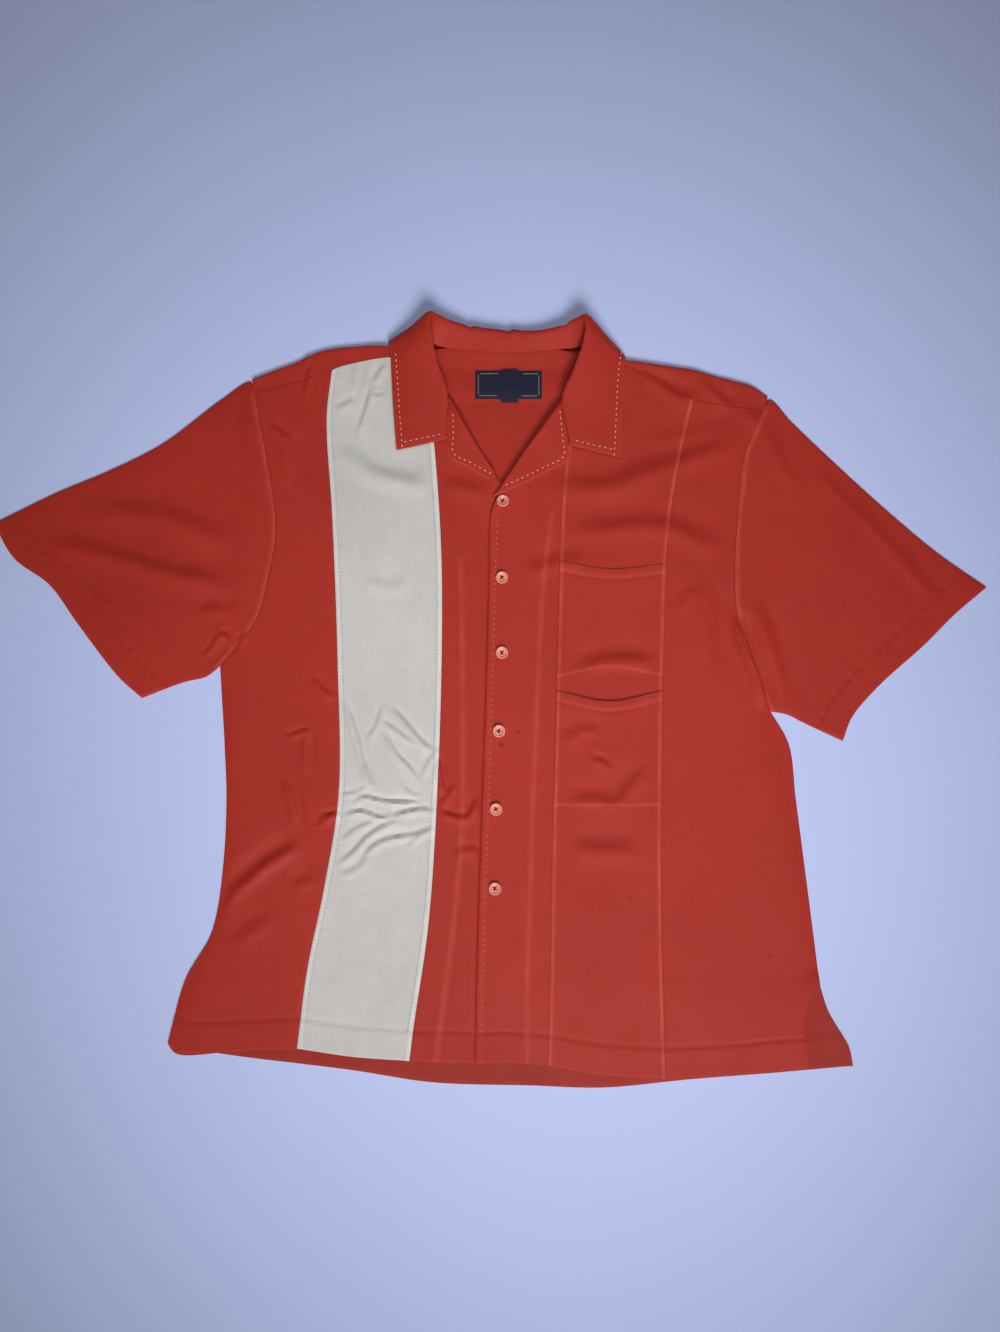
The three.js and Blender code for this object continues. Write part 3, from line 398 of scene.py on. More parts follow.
# ---- how high the cloth lies -----------------------------------------------------------------
def creases(x, y):
    """Every crease of the table, added up at the points x, y."""
    height = np.zeros(np.shape(x))
    depth = bpy.context.scene.shirt_cloth.crease_depth
    for rows, half, rise in CREASES:
        run = line(rows, 4 * (len(rows) - 1))
        low = run.min(axis=0) - 4 * half
        high = run.max(axis=0) + 4 * half
        near = (x > low[0]) & (x < high[0]) & (y > low[1]) & (y < high[1])
        if not near.any():
            continue
        across, part = beside(run, x[near], y[near])
        dx, dy = run[-1] - run[0]
        across *= 1 if -dy * LIGHT_RUN[0] + dx * LIGHT_RUN[1] > 0 else -1
        ends = smooth(0, 0.25, part) * (1 - smooth(0.75, 1, part))
        crest, crest_width, share, trough, trough_width = SHARP_CREASE if half < SHARP else SOFT_CREASE
        shape = (bell(across + crest * half, crest_width * half)
                 - share * bell(across - trough * half, trough_width * half))
        height[near] += depth * rise * ends * shape
    return height


def swell(x, y):
    """The slow, shallow waves of cloth that has been smoothed out by hand."""
    return (0.35 * np.sin(x / 31 + 0.7 * np.sin(y / 47)) * np.sin(y / 58 + 1.1)
            + 0.22 * np.sin((x + 0.6 * y) / 23 + 2.0) * np.sin((y - 0.4 * x) / 71))


def neck_lift(x, y):
    outside = np.abs(x - NECK["x"]) - np.maximum(0, y - NECK["vee"]) * NECK["spread"]
    return (NECK["lift"] * smooth(NECK["low"], NECK["high"], y)
            * (1 - smooth(0, NECK["reach"], outside)))


def from_side(x, y):
    """Distance in from the sides of the body, which flare towards the hem."""
    right_at, right_flare, *right_run = SIDES["right"]
    left_at, left_flare, *left_run = SIDES["left"]
    right = x + right_at + smooth(*right_run, y) * right_flare
    left = left_at + smooth(*left_run, y) * left_flare - x
    return np.maximum(0, np.minimum(right, left))


def front_height(x, y):
    """Middle of the fronts: low at the sides and hem, up over the shoulders and round the neck."""
    x = np.asarray(x, float)
    y = np.asarray(y, float)
    edge = 1 - np.exp(-from_side(x, y) / 9)
    above_hem = np.abs(beside(FRONT_HEM, x, y)[0])
    lie = mix(HEM_LIE, FRONT_LIE, smooth(0, 70, above_hem))
    shape = creases(x, y) + swell(x, y) * smooth(0, 25, above_hem)
    height = mix(SIDE_LIE, lie, edge) + shape * edge
    height += SHOULDER["lift"] * smooth(SHOULDER["low"], SHOULDER["high"], y) * edge
    over = height - SIDE_LIE
    return SIDE_LIE + 0.5 * (over + np.sqrt(over**2 + 0.25)) + neck_lift(x, y)


def lap_height(x, y):
    """The left front laps over the right one, and over the right lapel at the vee."""
    over = 1 - smooth(*LAP["fades"], np.asarray(x, float))
    at_vee = smooth(*LAP["vee"], np.asarray(y, float))
    return front_height(x, y) + over * (LAP["rise"] + LAP["vee_rise"] * at_vee)


def hem_form(distance, width):
    """The turned hem: a ply higher inside the stitch line, with the stitches pulled down."""
    turned = HEM_TURN["ply"] * (1 - smooth(width - 1.5, width + 1.5, distance))
    return (turned - HEM_TURN["stitch"] * bell(distance - width - 0.5, 1.8)
            + HEM_TURN["ridge"] * bell(distance - width - 3, 2))


def seam_form(distance):
    """The seam allowance, pressed to one side, under the cloth beside a seam."""
    return 0.55 * bell(distance - 2.6, 2.0) - 0.25 * bell(distance, 0.8)


# ---- meshes ----------------------------------------------------------------------------------
def thickened(points, quads, thickness):
    """Points and faces of a closed sheet on a middle surface."""
    a, b, c, d = (points[quads[:, k]] for k in range(4))
    facing = np.cross(c - a, d - b)
    normals = np.zeros_like(points)
    for k in range(4):
        np.add.at(normals, quads[:, k], facing)
    normals /= np.linalg.norm(normals, axis=1)[:, None]
    count = len(points)
    edges = np.vstack([quads[:, [k, (k + 1) % 4]] for k in range(4)])
    forward = edges[:, 0] * count + edges[:, 1]
    backward = edges[:, 1] * count + edges[:, 0]
    rim = edges[~np.isin(forward, backward)]
    walls = np.stack([rim[:, 0], rim[:, 0] + count, rim[:, 1] + count, rim[:, 1]], axis=-1)
    faces = np.vstack([quads, quads[:, ::-1] + count, walls])
    both = np.vstack([points + normals * thickness / 2, points - normals * thickness / 2])
    a, b, c, d = (both[faces[:, k]] for k in range(4))
    volume = np.einsum("ij,ij->", a, np.cross(b, c)) + np.einsum("ij,ij->", a, np.cross(c, d))
    return both, faces if volume > 0 else faces[:, ::-1]


def cloth(name, grids, thickness=CLOTH, wear_and_highlight=None):
    """A closed piece of cloth on grids of middle points, in mm, that may share edges."""
    corners = np.vstack([grid.reshape(-1, 3) for grid in grids])
    _, first, index = np.unique(np.round(corners * 40).astype(np.int64), axis=0,
                                return_index=True, return_inverse=True)
    index = index.reshape(-1)
    quads = []
    start = 0
    for grid in grids:
        rows, cols = grid.shape[:2]
        ids = index[start:start + rows * cols].reshape(rows, cols)
        start += rows * cols
        quads.append(np.stack([ids[:-1, :-1], ids[1:, :-1], ids[1:, 1:], ids[:-1, 1:]], axis=-1))
    quads = np.vstack([q.reshape(-1, 4) for q in quads])
    points, faces = thickened(corners[first], quads, thickness)
    obj = piece(name, points, faces.tolist())
    # a mask kept on the points that paints the cloth paler along seams and edges: partly rubbing, partly
    # painted highlight
    if wear_and_highlight is not None:
        values = np.concatenate([grid.reshape(-1) for grid in wear_and_highlight])[first]
        layer = obj.data.attributes.new("wear_and_highlight", "FLOAT", "POINT")
        layer.data.foreach_set("value", np.tile(values, 2).astype(np.float32))
    return obj


def piece(name, points, faces, sharp=50):
    """A mesh object from points in mm, smooth except across edges sharper than the angle."""
    mesh = bpy.data.meshes.new(name)
    mesh.from_pydata((np.asarray(points) * MM).tolist(), [], faces)
    mesh.shade_smooth()
    mesh.set_sharp_from_angle(angle=math.radians(sharp))
    obj = bpy.data.objects.new(name, mesh)
    bpy.context.scene.collection.objects.link(obj)
    return obj


def dressed(obj, material, nodes=()):
    """Gives a piece its material and slot and makes it stand for its CAD nodes."""
    obj.data.materials.append(material)
    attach(obj, "root")
    if nodes:
        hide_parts(*nodes)
    return obj


def steps(size):
    """How many grid steps a length in mm takes."""
    return max(3, round(size / bpy.context.scene.shirt_cloth.pitch))


def raised(grid, height):
    return np.dstack([grid, height])


# ---- body ------------------------------------------------------------------------------------
def body_rows():
    """Grid rows beside the armhole and beside the side seam."""
    fine = steps(length(SIDE_RIGHT) / 14)
    return 10 * fine, 14 * fine


def side_lines(vent):
    upper, lower = body_rows()
    right = join(line(ARMHOLE_RIGHT, upper), line(SIDE_RIGHT, lower))
    vent_rows = 4 * lower // 14
    left = join(line(ARMHOLE_LEFT, upper),
                join(line(SIDE_LEFT, lower - vent_rows), line(vent, vent_rows)))
    return right, left


def pinned(points, first, last):
    points = points.copy()
    points[0] = first
    points[-1] = last
    return points


def front_panel(left, right, top, hem):
    """The grid of one front panel, clear of its neighbours by the seam gap."""
    half = SEAM_GAP / 2
    left = left + (half, 0)
    right = right - (half, 0)
    left[0, 1] -= SEAM_GAP
    right[0, 1] -= SEAM_GAP
    cols = steps(np.abs(right[:, 0] - left[:, 0]).mean())
    top = pinned(line(top, cols) - (0, SEAM_GAP), left[0], right[0])
    return patch(left, right, top, pinned(line(hem, cols), left[-1], right[-1]))


def front_form(grid, height, seam_left=0.0, seam_right=0.0, facing=None, edge=0, under=None,
               vent=False):
    """Heights of a front panel, from its lie, seams, hem and the facing under it, and how much paler it
    is painted along seams, hem, facing and free edge: partly rubbing, partly painted highlight.
    """
    x, y = grid[..., 0], grid[..., 1]
    hem = np.abs(beside(FRONT_HEM, x, y)[0])
    to_left = x - x[:, :1]
    to_right = x[:, -1:] - x
    z = height(x, y) + hem_form(hem, HEM_WIDTH)
    z += seam_left * seam_form(to_left) + seam_right * seam_form(to_right)
    z -= 0.2 * (bell(to_left, 0.7) + bell(to_right, 0.7))
    # paler bands beside the seams and along the hem: painted highlight on the seam ridges and the hem's
    # fold, with some rubbing
    wear_and_highlight = seam_left * bell(to_left - 2.2, 1.6) + seam_right * bell(to_right - 2.2, 1.6)
    wear_and_highlight += 0.3 * bell(hem, 1.5)
    if facing:
        across = beside(line(facing, 40), x, y)[0]
        z += 0.5 * bell(across, 2.6) - 0.3 * bell(across - 5, 3)
        # a paler line along the facing's edge: painted highlight, with some rubbing
        wear_and_highlight += 0.5 * bell(across, 2.4)
    if vent:
        opening = np.abs(beside(VENT_FRONT, x, y)[0])
        z += (VENT_LIFT["rise"] * bell(opening, VENT_LIFT["reach"])
              * (1 - smooth(0, VENT_LIFT["above"], y - VENT_FRONT[0][1])))
    if under:
        inside = beside(line(under, 60), x, y)[0]
        z -= (UNDERLAP_DIP["depth"] * smooth(*UNDERLAP_DIP["starts"], inside)
              * (1 - smooth(*UNDERLAP_DIP["ends"], inside)))
    if edge:
        free = to_left if edge < 0 else to_right
        z += 0.5 * bell(free - 3, 2.5) - 0.4 * bell(free, 1.2)
        # a paler line inside the free edge: painted highlight on its roll, with some rubbing
        wear_and_highlight += 0.25 * bell(free - 3, 1.6)
    return np.maximum(z, SIDE_LIE), wear_and_highlight


def add_front(name, grid, height, material, slot, lies_on, **form):
    z, wear_and_highlight = front_form(grid, height, **form)
    middle = raised(grid, z)
    obj = dressed(cloth(f"{name}_cloth", [middle], wear_and_highlight=[wear_and_highlight]), material, [name])


def add_fronts():
    red, cream = body_cloth(), stripe_cloth()
    upper, lower = body_rows()
    rows = upper + lower
    side_right, side_left = side_lines(VENT_FRONT)
    stripe_outer = line(STRIPE_OUTER, rows)
    stripe_inner = line(STRIPE_INNER, rows)
    pocket_inner = line(POCKET_INNER, rows)
    pocket_outer = line(POCKET_OUTER, rows)
    add_front("front_right_side",
              front_panel(side_right, stripe_outer, YOKE_RIGHT_SIDE, HEM_RIGHT["side"]),
              front_height, red, "shirt_cloth", ["back"])
    add_front("front_right_stripe",
              front_panel(stripe_outer, stripe_inner, YOKE_RIGHT_STRIPE, HEM_RIGHT["stripe"]),
              front_height, cream, "contrast_cloth", ["back"], seam_left=0.8, seam_right=0.8)
    add_front("front_right_inner",
              front_panel(stripe_inner, line(UNDERLAP, rows), NECK_RIGHT, HEM_RIGHT["inner"]),
              front_height, red, "shirt_cloth", ["back"],
              facing=FACING_RIGHT, edge=1, under=FRONT_EDGE)
    add_front("front_left_placket",
              front_panel(line(FRONT_EDGE, rows), pocket_inner, NECK_LEFT, HEM_LEFT["placket"]),
              lap_height, red, "shirt_cloth", ["front_right_inner"], facing=FACING_LEFT, edge=-1)
    add_front("front_left_pocket_panel",
              front_panel(pocket_inner, pocket_outer, YOKE_LEFT_POCKET, HEM_LEFT["pocket"]),
              lap_height, red, "shirt_cloth", ["back"], seam_left=1.0, seam_right=1.0)
    add_front("front_left_side",
              front_panel(pocket_outer, side_left, YOKE_LEFT_SIDE, HEM_LEFT["side"]),
              lap_height, red, "shirt_cloth", ["back"], vent=True)


def add_pockets():
    red = body_cloth()
    inner = line(POCKET_INNER, 400)
    outer = line(POCKET_OUTER, 400)
    cols = steps(110)

    def across(levels):
        """A line from seam to seam through its levels at the inner seam, middle and outer seam."""
        first, middle, last = levels
        a = np.interp(-first, -inner[:, 1], inner[:, 0]) + POCKET_INSET
        b = np.interp(-last, -outer[:, 1], outer[:, 0]) - POCKET_INSET
        return line([(a, first), ((a + b) / 2, middle), (b, last)], cols)

    for name, form in POCKETS.items():
        top, bottom = across(form["mouth"]), across(form["foot"])
        rows = steps(top[0, 1] - bottom[0, 1])
        t = np.linspace(0, 1, rows + 1)[:, None]
        grid = patch(mix(top[0], bottom[0], t), mix(top[-1], bottom[-1], t), top, bottom)
        x, y = grid[..., 0], grid[..., 1]
        mouth = np.abs(beside(top, x, y)[0])
        foot = np.abs(beside(bottom, x, y)[0])
        to_left, to_right = x - x[:, :1], x[:, -1:] - x
        open_mouth = smooth(0, 30, to_left) * smooth(0, 30, to_right)
        z = lap_height(x, y) + PLY + form["gape"] * smooth(45, 0, mouth) * (0.25 + 0.75 * open_mouth)
        z += seam_form(to_left + 0.6) + seam_form(to_right + 0.6) + hem_form(mouth, 9) - 0.25
        z += 0.35 * bell(foot - 1.8, 1.6) - 0.35 * bell(foot, 0.9) - 0.3 * bell(mouth, 1.0)
        # paler bands along the pocket's seams, mouth, hem and foot: painted highlight on their ridges,
        # with some rubbing
        wear_and_highlight = bell(to_left - 1.6, 1.6) + bell(to_right - 1.6, 1.6) + 0.3 * bell(mouth, 1.8)
        wear_and_highlight += 0.3 * bell(mouth - 9, 1.2) + 0.35 * bell(foot - 1.5, 1.6)
        middle = raised(grid, z)
        obj = dressed(cloth(f"{name}_cloth", [middle], wear_and_highlight=[wear_and_highlight]), red, [name])


def add_back():
    right, left = side_lines(VENT_BACK)
    half = SEAM_GAP / 2
    seam_right, seam_left = BACK_YOKE_SEAM[0], BACK_YOKE_SEAM[-1]

    def edge(points, start, shift):
        below = points[points[:, 1] < start[1] - half - 1.5] + (shift, 0)
        return np.vstack([(start[0] + shift, start[1] - half), below])

    edges = edge(right, seam_right, half), edge(left, seam_left, -half)
    rows = max(len(edges[0]), len(edges[1])) // 2
    right, left = (evenly(points, rows) for points in edges)
    cols = steps(500) // 2
    top = pinned(line(BACK_YOKE_SEAM, cols) - (0, half), right[0], left[0])
    bottom = pinned(line(BACK_HEM, cols), right[-1], left[-1])
    grid = patch(right, left, top, bottom)
    x, y = grid[..., 0], grid[..., 1]
    hem = np.abs(beside(BACK_HEM, x, y)[0])
    vent = np.abs(beside(VENT_BACK, x, y)[0])
    rise = 0.35 * (1 - smooth(HEM_WIDTH - 2, HEM_WIDTH + 2, hem)) + 0.3 * bell(hem - HEM_WIDTH + 2, 3)
    rise += (0.7 * (1 - smooth(VENT_FACING - 1, VENT_FACING + 1, vent))
             - 0.3 * bell(vent - VENT_FACING - 1, 1.5))
    rise -= 0.3 * bell(hem - HEM_WIDTH, 1.2)
    middle = raised(grid, ON_FLOOR + np.maximum(rise, 0))
    # paler along the hem: painted highlight on its fold, with some rubbing
    wear_and_highlight = 0.3 * bell(hem, 3)
    # the back takes a darker copy of the red: painted shade
    obj = dressed(cloth("back_cloth", [middle], wear_and_highlight=[wear_and_highlight]), shaded_back_cloth(), ["back"])


def yoke_height(x, y):
    near = 1 - smooth(YOKE_LIFT["reach"] - 30, YOKE_LIFT["reach"] + 20, np.abs(x - NECK["x"]))
    over_leaf = YOKE_LIFT["lift"] * smooth(YOKE_LIFT["low"], YOKE_LIFT["low"] + 18, y)
    return ON_FLOOR + near * (over_leaf + YOKE_LIFT["rise"] * smooth(YOKE_LIFT["high"], 360, y))


def yoke_column(start, shoulder, seam, armhole, lean, counts):
    """One column of a shoulder: along the floor, round the fold and forward to the front seam."""
    floor_count, fold_count, flap_count = counts
    inward = (seam - shoulder) / np.linalg.norm(seam - shoulder)
    upper = float(front_height(*seam))
    lower = float(yoke_height(*shoulder))
    radius = max(1.0, (upper - lower) / 2 + 0.3)
    centre = shoulder + inward * (radius + CLOTH / 2)
    angles = np.linspace(-math.pi / 2, math.pi / 2, fold_count + 1)
    fold = np.column_stack([centre - inward * radius * np.cos(angles)[:, None],
                            lower + radius + radius * np.sin(angles)])
    t = np.linspace(0, 1, floor_count + 1)[:-1]
    run = mix(start, fold[0, :2], t[:, None])
    at = np.interp(-run[:, 1], -armhole[:, 1], armhole[:, 0])
    run[:, 0] += (at - mix(at[0], np.interp(-fold[0, 1], -armhole[:, 1], armhole[:, 0]), t)) * lean
    floor = np.column_stack([run, np.minimum(yoke_height(run[:, 0], run[:, 1]), fold[0, 2])])
    t = np.linspace(0, 1, flap_count + 1)[1:]
    flat = mix(fold[-1, :2], seam, t[:, None])
    level = front_height(flat[:, 0], flat[:, 1])
    level = mix(np.full(len(t), fold[-1, 2]), level, smooth(0, 0.7, t))
    return np.vstack([floor, fold, np.column_stack([flat, level])])


def add_yoke():
    half = SEAM_GAP / 2
    back_seam = line(BACK_YOKE_SEAM, 200)
    counts = (steps(170), 10, steps(36))
    neck_right, neck_left = NECK_BACK[0][0], NECK_BACK[-1][0]

    def starts(first, last, count):
        x = np.linspace(first, last, count + 1)
        return np.column_stack([x, np.interp(x, back_seam[:, 0], back_seam[:, 1]) + half])

    def shoulder(fold, seams, armhole, first, last):
        """The columns of one shoulder, from the armhole to the neck."""
        count = len(seams) - 1
        lines = zip(starts(first, last, count), line(fold, count), seams + (0, half))
        return np.stack([yoke_column(start, top, seam, armhole, (1 - i / count) ** 2, counts)
                         for i, (start, top, seam) in enumerate(lines)], axis=1)

    side, stripe = steps(84), steps(98)
    pocket, left_side = steps(118), steps(74)
    right = shoulder(SHOULDER_RIGHT, join(line(YOKE_RIGHT_SIDE, side), line(YOKE_RIGHT_STRIPE, stripe)),
                     line(ARMHOLE_RIGHT, 80), BACK_YOKE_SEAM[0][0] + SEAM_GAP, neck_right)
    left = shoulder(SHOULDER_LEFT,
                    join(line(YOKE_LEFT_POCKET, pocket), line(YOKE_LEFT_SIDE, left_side))[::-1],
                    line(ARMHOLE_LEFT, 80), BACK_YOKE_SEAM[-1][0] - SEAM_GAP, neck_left)
    cols = steps(160)
    neck = line(NECK_BACK, cols) - (0, 0.9)
    t = np.linspace(0, 1, counts[0] + 1)[:, None, None]
    flat = mix(starts(neck_right, neck_left, cols)[None], neck[None], t)
    middle = raised(flat, yoke_height(flat[..., 0], flat[..., 1]))
    middle[:, 0] = right[:counts[0] + 1, -1]
    middle[:, -1] = left[:counts[0] + 1, -1]
    grids = [right, middle, left[:, ::-1]]
    obj = dressed(cloth("yoke_cloth", grids), body_cloth(), ["yoke"])


# ---- sleeves ---------------------------------------------------------------------------------
def sleeve_rings(table, clear):
    """Flattened rings from the armhole to the hem, each along the floor and back over the top."""
    armhole = [(x + clear, y) for x, y in table["armhole"]]
    top = [(table["top"][0][0] + clear, table["top"][0][1])] + table["top"][1:]
    bottom = [(table["bottom"][0][0] + clear, table["bottom"][0][1])] + table["bottom"][1:]
    rows, across, turn = steps(length(top) * 0.62), steps(length(armhole) * 0.85), 8
    grid = patch(line(top, rows), line(bottom, rows), line(armhole, across),
                 line(table["hem"], across))
    x, y = grid[..., 0], grid[..., 1]
    hem = np.abs(beside(table["hem"], x, y)[0])
    seam = np.abs(beside(table["armhole"], x, y)[0])
    t = np.linspace(0, 1, across + 1)[None]
    belly = np.sin(math.pi * t) ** 0.5
    low = SIDE_LIE + 0.5
    puff = (low + SLEEVE_PUFF * belly * (1 - 0.45 * smooth(60, 0, hem))
            + 0.6 * smooth(40, 0, seam) * belly)
    shape = (creases(x, y) + swell(x, y)) * smooth(0, 9, seam) * belly
    over = puff + shape - low
    z = low + 0.5 * (over + np.sqrt(over**2 + 0.2)) - 0.2
    join_up = (1 - smooth(0, 26, seam)) * smooth(0, 0.12, t) * (1 - smooth(0.88, 1, t))
    z = mix(z, front_height(x, y), join_up)
    pucker = 0.22 * np.sin(along_hem(table["hem"], x, y) / 2.1) * bell(hem - SLEEVE_HEM, 5)
    z = np.maximum(z + hem_form(hem, SLEEVE_HEM) + pucker, SIDE_LIE)
    # paler along the hem and the armhole seam: painted highlight on the seam's ridge and the hem's fold,
    # with some rubbing
    wear_and_highlight = 0.3 * bell(hem, 1.6) + 0.7 * bell(seam - 2, 1.8)
    inward = (grid[:, 1] - grid[:, 0])
    inward /= np.linalg.norm(inward, axis=1)[:, None]
    outward = (grid[:, -1] - grid[:, -2])
    outward /= np.linalg.norm(outward, axis=1)[:, None]
    radius = (low - ON_FLOOR) / 2
    flat = grid.copy()
    flat[:, 0] += inward * (radius + CLOTH / 2)
    flat[:, -1] -= outward * (radius + CLOTH / 2)
    z[:, 0] = low
    z[:, -1] = low
    angles = np.linspace(-math.pi / 2, math.pi / 2, turn + 1)[1:-1]

    def fold(centre, direction, turns):
        flat_part = centre[:, None] + direction[:, None] * radius * np.cos(turns)[None, :, None]
        level = np.broadcast_to(ON_FLOOR + radius + radius * np.sin(turns), flat_part.shape[:2])
        return raised(flat_part, level)

    floor = raised(flat, np.full(z.shape, ON_FLOOR))
    upper = raised(flat, z)
    rings = np.concatenate([floor, fold(flat[:, -1], outward, angles), upper[:, ::-1],
                            fold(flat[:, 0], -inward, angles[::-1]), floor[:, :1]], axis=1)
    plain = np.zeros((len(grid), turn - 1))
    worn_and_highlight = np.concatenate([np.zeros(wear_and_highlight.shape), plain, wear_and_highlight[:, ::-1], plain,
                           np.zeros((len(grid), 1))], axis=1)
    return rings, worn_and_highlight


def along_hem(rows, x, y):
    return beside(rows, x, y)[1] * length(rows)


def add_sleeves():
    red = body_cloth()
    for name, table, clear in (("sleeve_right", SLEEVE_RIGHT, -SLEEVE_CLEAR),
                               ("sleeve_left", SLEEVE_LEFT, SLEEVE_CLEAR)):
        rings, worn_and_highlight = sleeve_rings(table, clear)
        obj = dressed(cloth(f"{name}_cloth", [rings], wear_and_highlight=[worn_and_highlight]), red, [name])


# ---- collar and lapels -----------------------------------------------------------------------
def collar_grid():
    """Stations from the wearer's right notch to the left, each up the stand and down the leaf."""
    each = max(3, steps(20))
    runs = [through([section[k] for section in COLLAR], each) for k in range(4)]
    grid = np.stack([line(profile, COLLAR_ACROSS) for profile in zip(*runs)])
    x = grid[..., 0]
    t = np.linspace(0, 1, COLLAR_ACROSS + 1)[None]
    stand = smooth(0, 0.1, t) * (1 - smooth(0.32, 0.5, t)) * (grid[..., 1] > 350)
    for at, deep in COLLAR_PLEATS:
        grid[..., 1] -= deep * stand * (bell(x - at, 3.2) - 0.6 * bell(x - at - 6, 5))
        grid[..., 2] -= 0.5 * deep * stand * bell(x - at, 3.2)
    grid[..., 2] = np.maximum(grid[..., 2], ON_FLOOR)
    return grid


def upward(grid):
    """Unit normals of a grid, turned to the upper side."""
    normals = np.cross(np.gradient(grid, axis=0), np.gradient(grid, axis=1))
    normals /= np.linalg.norm(normals, axis=-1)[..., None] + 1e-9
    return normals * np.where(normals[..., 2:] < 0, -1, 1)


def add_collar():
    grid = collar_grid()
    edge = np.linalg.norm(grid - grid[:, -1:], axis=-1)
    ends = np.minimum(np.linalg.norm(grid - grid[:1], axis=-1),
                      np.linalg.norm(grid - grid[-1:], axis=-1))
    grid = grid + upward(grid) * (-0.3 * bell(edge, 1.2) - 0.3 * bell(ends, 1.2)
                                  - 0.18 * bell(np.minimum(edge, ends) - PICK_INSET, 1.3))[..., None]
    # paler along the free edge and the ends: painted highlight on the rolled edges, with some rubbing
    wear_and_highlight = 0.35 * bell(np.minimum(edge, ends), 1.8)
    obj = cloth("collar_cloth", [grid], COLLAR_WALL, wear_and_highlight=[wear_and_highlight])
    dressed(obj, body_cloth(), ["collar"])


def lapel_grid(rows, height):
    """Sections from the free edge over to the roll line and round it, under the front's edge."""
    count = steps(90)
    roll, out = (line([row[k] for row in rows], count) for k in (0, 1))
    top = np.interp(np.linspace(0, 1, count + 1), np.linspace(0, 1, len(rows)), [r[2] for r in rows])
    sections = []
    for (rx, ry), (ox, oy), stands in zip(roll, out, top):
        inward = np.array([ox - rx, oy - ry])
        reach = np.linalg.norm(inward)
        inward /= reach
        level = float(height(rx, ry))
        radius = float(np.clip(stands - level, 1.3, 3.6))
        centre = np.array([rx, ry]) + inward * (radius + CLOTH / 2)
        angles = np.linspace(math.pi / 2, -math.pi / 2, LAPEL["round"] + 1)
        fold = np.column_stack([centre - inward * radius * np.cos(angles)[:, None],
                                level + radius * np.sin(angles)])
        t = np.linspace(0, 1, LAPEL["across"] + 1)[:-1]
        flat = mix(np.array([ox, oy]), fold[0, :2], t[:, None])
        lift = mix(LAPEL["lie"], radius, t**2)
        over = np.column_stack([flat, height(flat[:, 0], flat[:, 1]) + lift])
        s = np.linspace(0, 1, LAPEL["under"] + 1)[1:]
        back = fold[-1, :2] + inward * min(LAPEL["return"], reach / 3) * s[:, None]
        under = np.column_stack([back, height(back[:, 0], back[:, 1]) - mix(radius, 0.95, s)])
        sections.append(np.vstack([over, fold, under]))
    return np.stack(sections)


def add_lapels():
    for (name, rows), height in zip(LAPELS.items(), (front_height, lap_height)):
        grid = lapel_grid(rows, height)
        edge = np.linalg.norm(grid - grid[:, :1], axis=-1)
        grid = grid + upward(grid) * (-0.35 * bell(edge, 1.2)
                                      - 0.18 * bell(edge - PICK_INSET, 1.3))[..., None]
        # paler along the free edge: painted highlight on the rolled edge, with some rubbing
        obj = cloth(f"{name}_cloth", [grid], wear_and_highlight=[0.35 * bell(edge, 1.8)])
        dressed(obj, body_cloth(), [name])


# ---- labels ----------------------------------------------------------------------------------
def label_height(x, y, spot):
    """Middle of a label: on the yoke, with a slight wave across it."""
    return yoke_height(x, y) + spot["lift"] + 0.25 * np.sin((x - spot["x"][0]) / 11)


def add_labels():
    colours = bpy.context.scene.shirt_colours
    navy = woven("label_weave", colours.label, roughness=0.7)
    gilt = woven("label_border", colours.border, roughness=0.6)
    for name, spot in LABELS.items():
        (left, right), (high, low) = spot["x"], spot["y"]
        cols, rows = 2 * steps(right - left), 2 * steps(high - low)
        x, y = np.meshgrid(np.linspace(left, right, cols + 1), np.linspace(high, low, rows + 1))
        rim = np.minimum(np.minimum(x - left, right - x), np.minimum(high - y, y - low))
        middle = raised(np.dstack([x, y]), label_height(x, y, spot) - 0.25 * bell(rim, 1.4))
        obj = dressed(cloth(f"{name}_cloth", [middle], LABEL_WALL), navy, [name])
    tab_left, tab_right = LABELS["size_tab"]["x"]
    (left, right), (high, low) = LABELS["neck_label"]["x"], LABELS["neck_label"]["y"]
    corners = [(left + BORDER_INSET, high - BORDER_INSET), (right - BORDER_INSET, high - BORDER_INSET),
               (right - BORDER_INSET, low + BORDER_INSET), (left + BORDER_INSET, low + BORDER_INSET)]
    runs = []
    for (ax, ay), (bx, by) in zip(corners, corners[1:] + corners[:1]):
        run = mix(np.array([ax, ay]), np.array([bx, by]), np.linspace(0, 1, 25)[:, None])
        level = label_height(run[:, 0], run[:, 1], LABELS["neck_label"]) + LABEL_WALL / 2
        clear = (run[:, 0] < tab_left - 1) | (run[:, 0] > tab_right + 1)
        run = np.column_stack([run, level])
        if clear.all():
            runs.append(run)
        else:
            split = int(np.argmin(clear))
            after = len(clear) - int(np.argmin(clear[::-1]))
            runs += [run[:split], run[after:]]
    dressed(threads("label_border", runs, radius=0.42, size=2.2, pitch=2.35, arch=0.05),
            gilt)


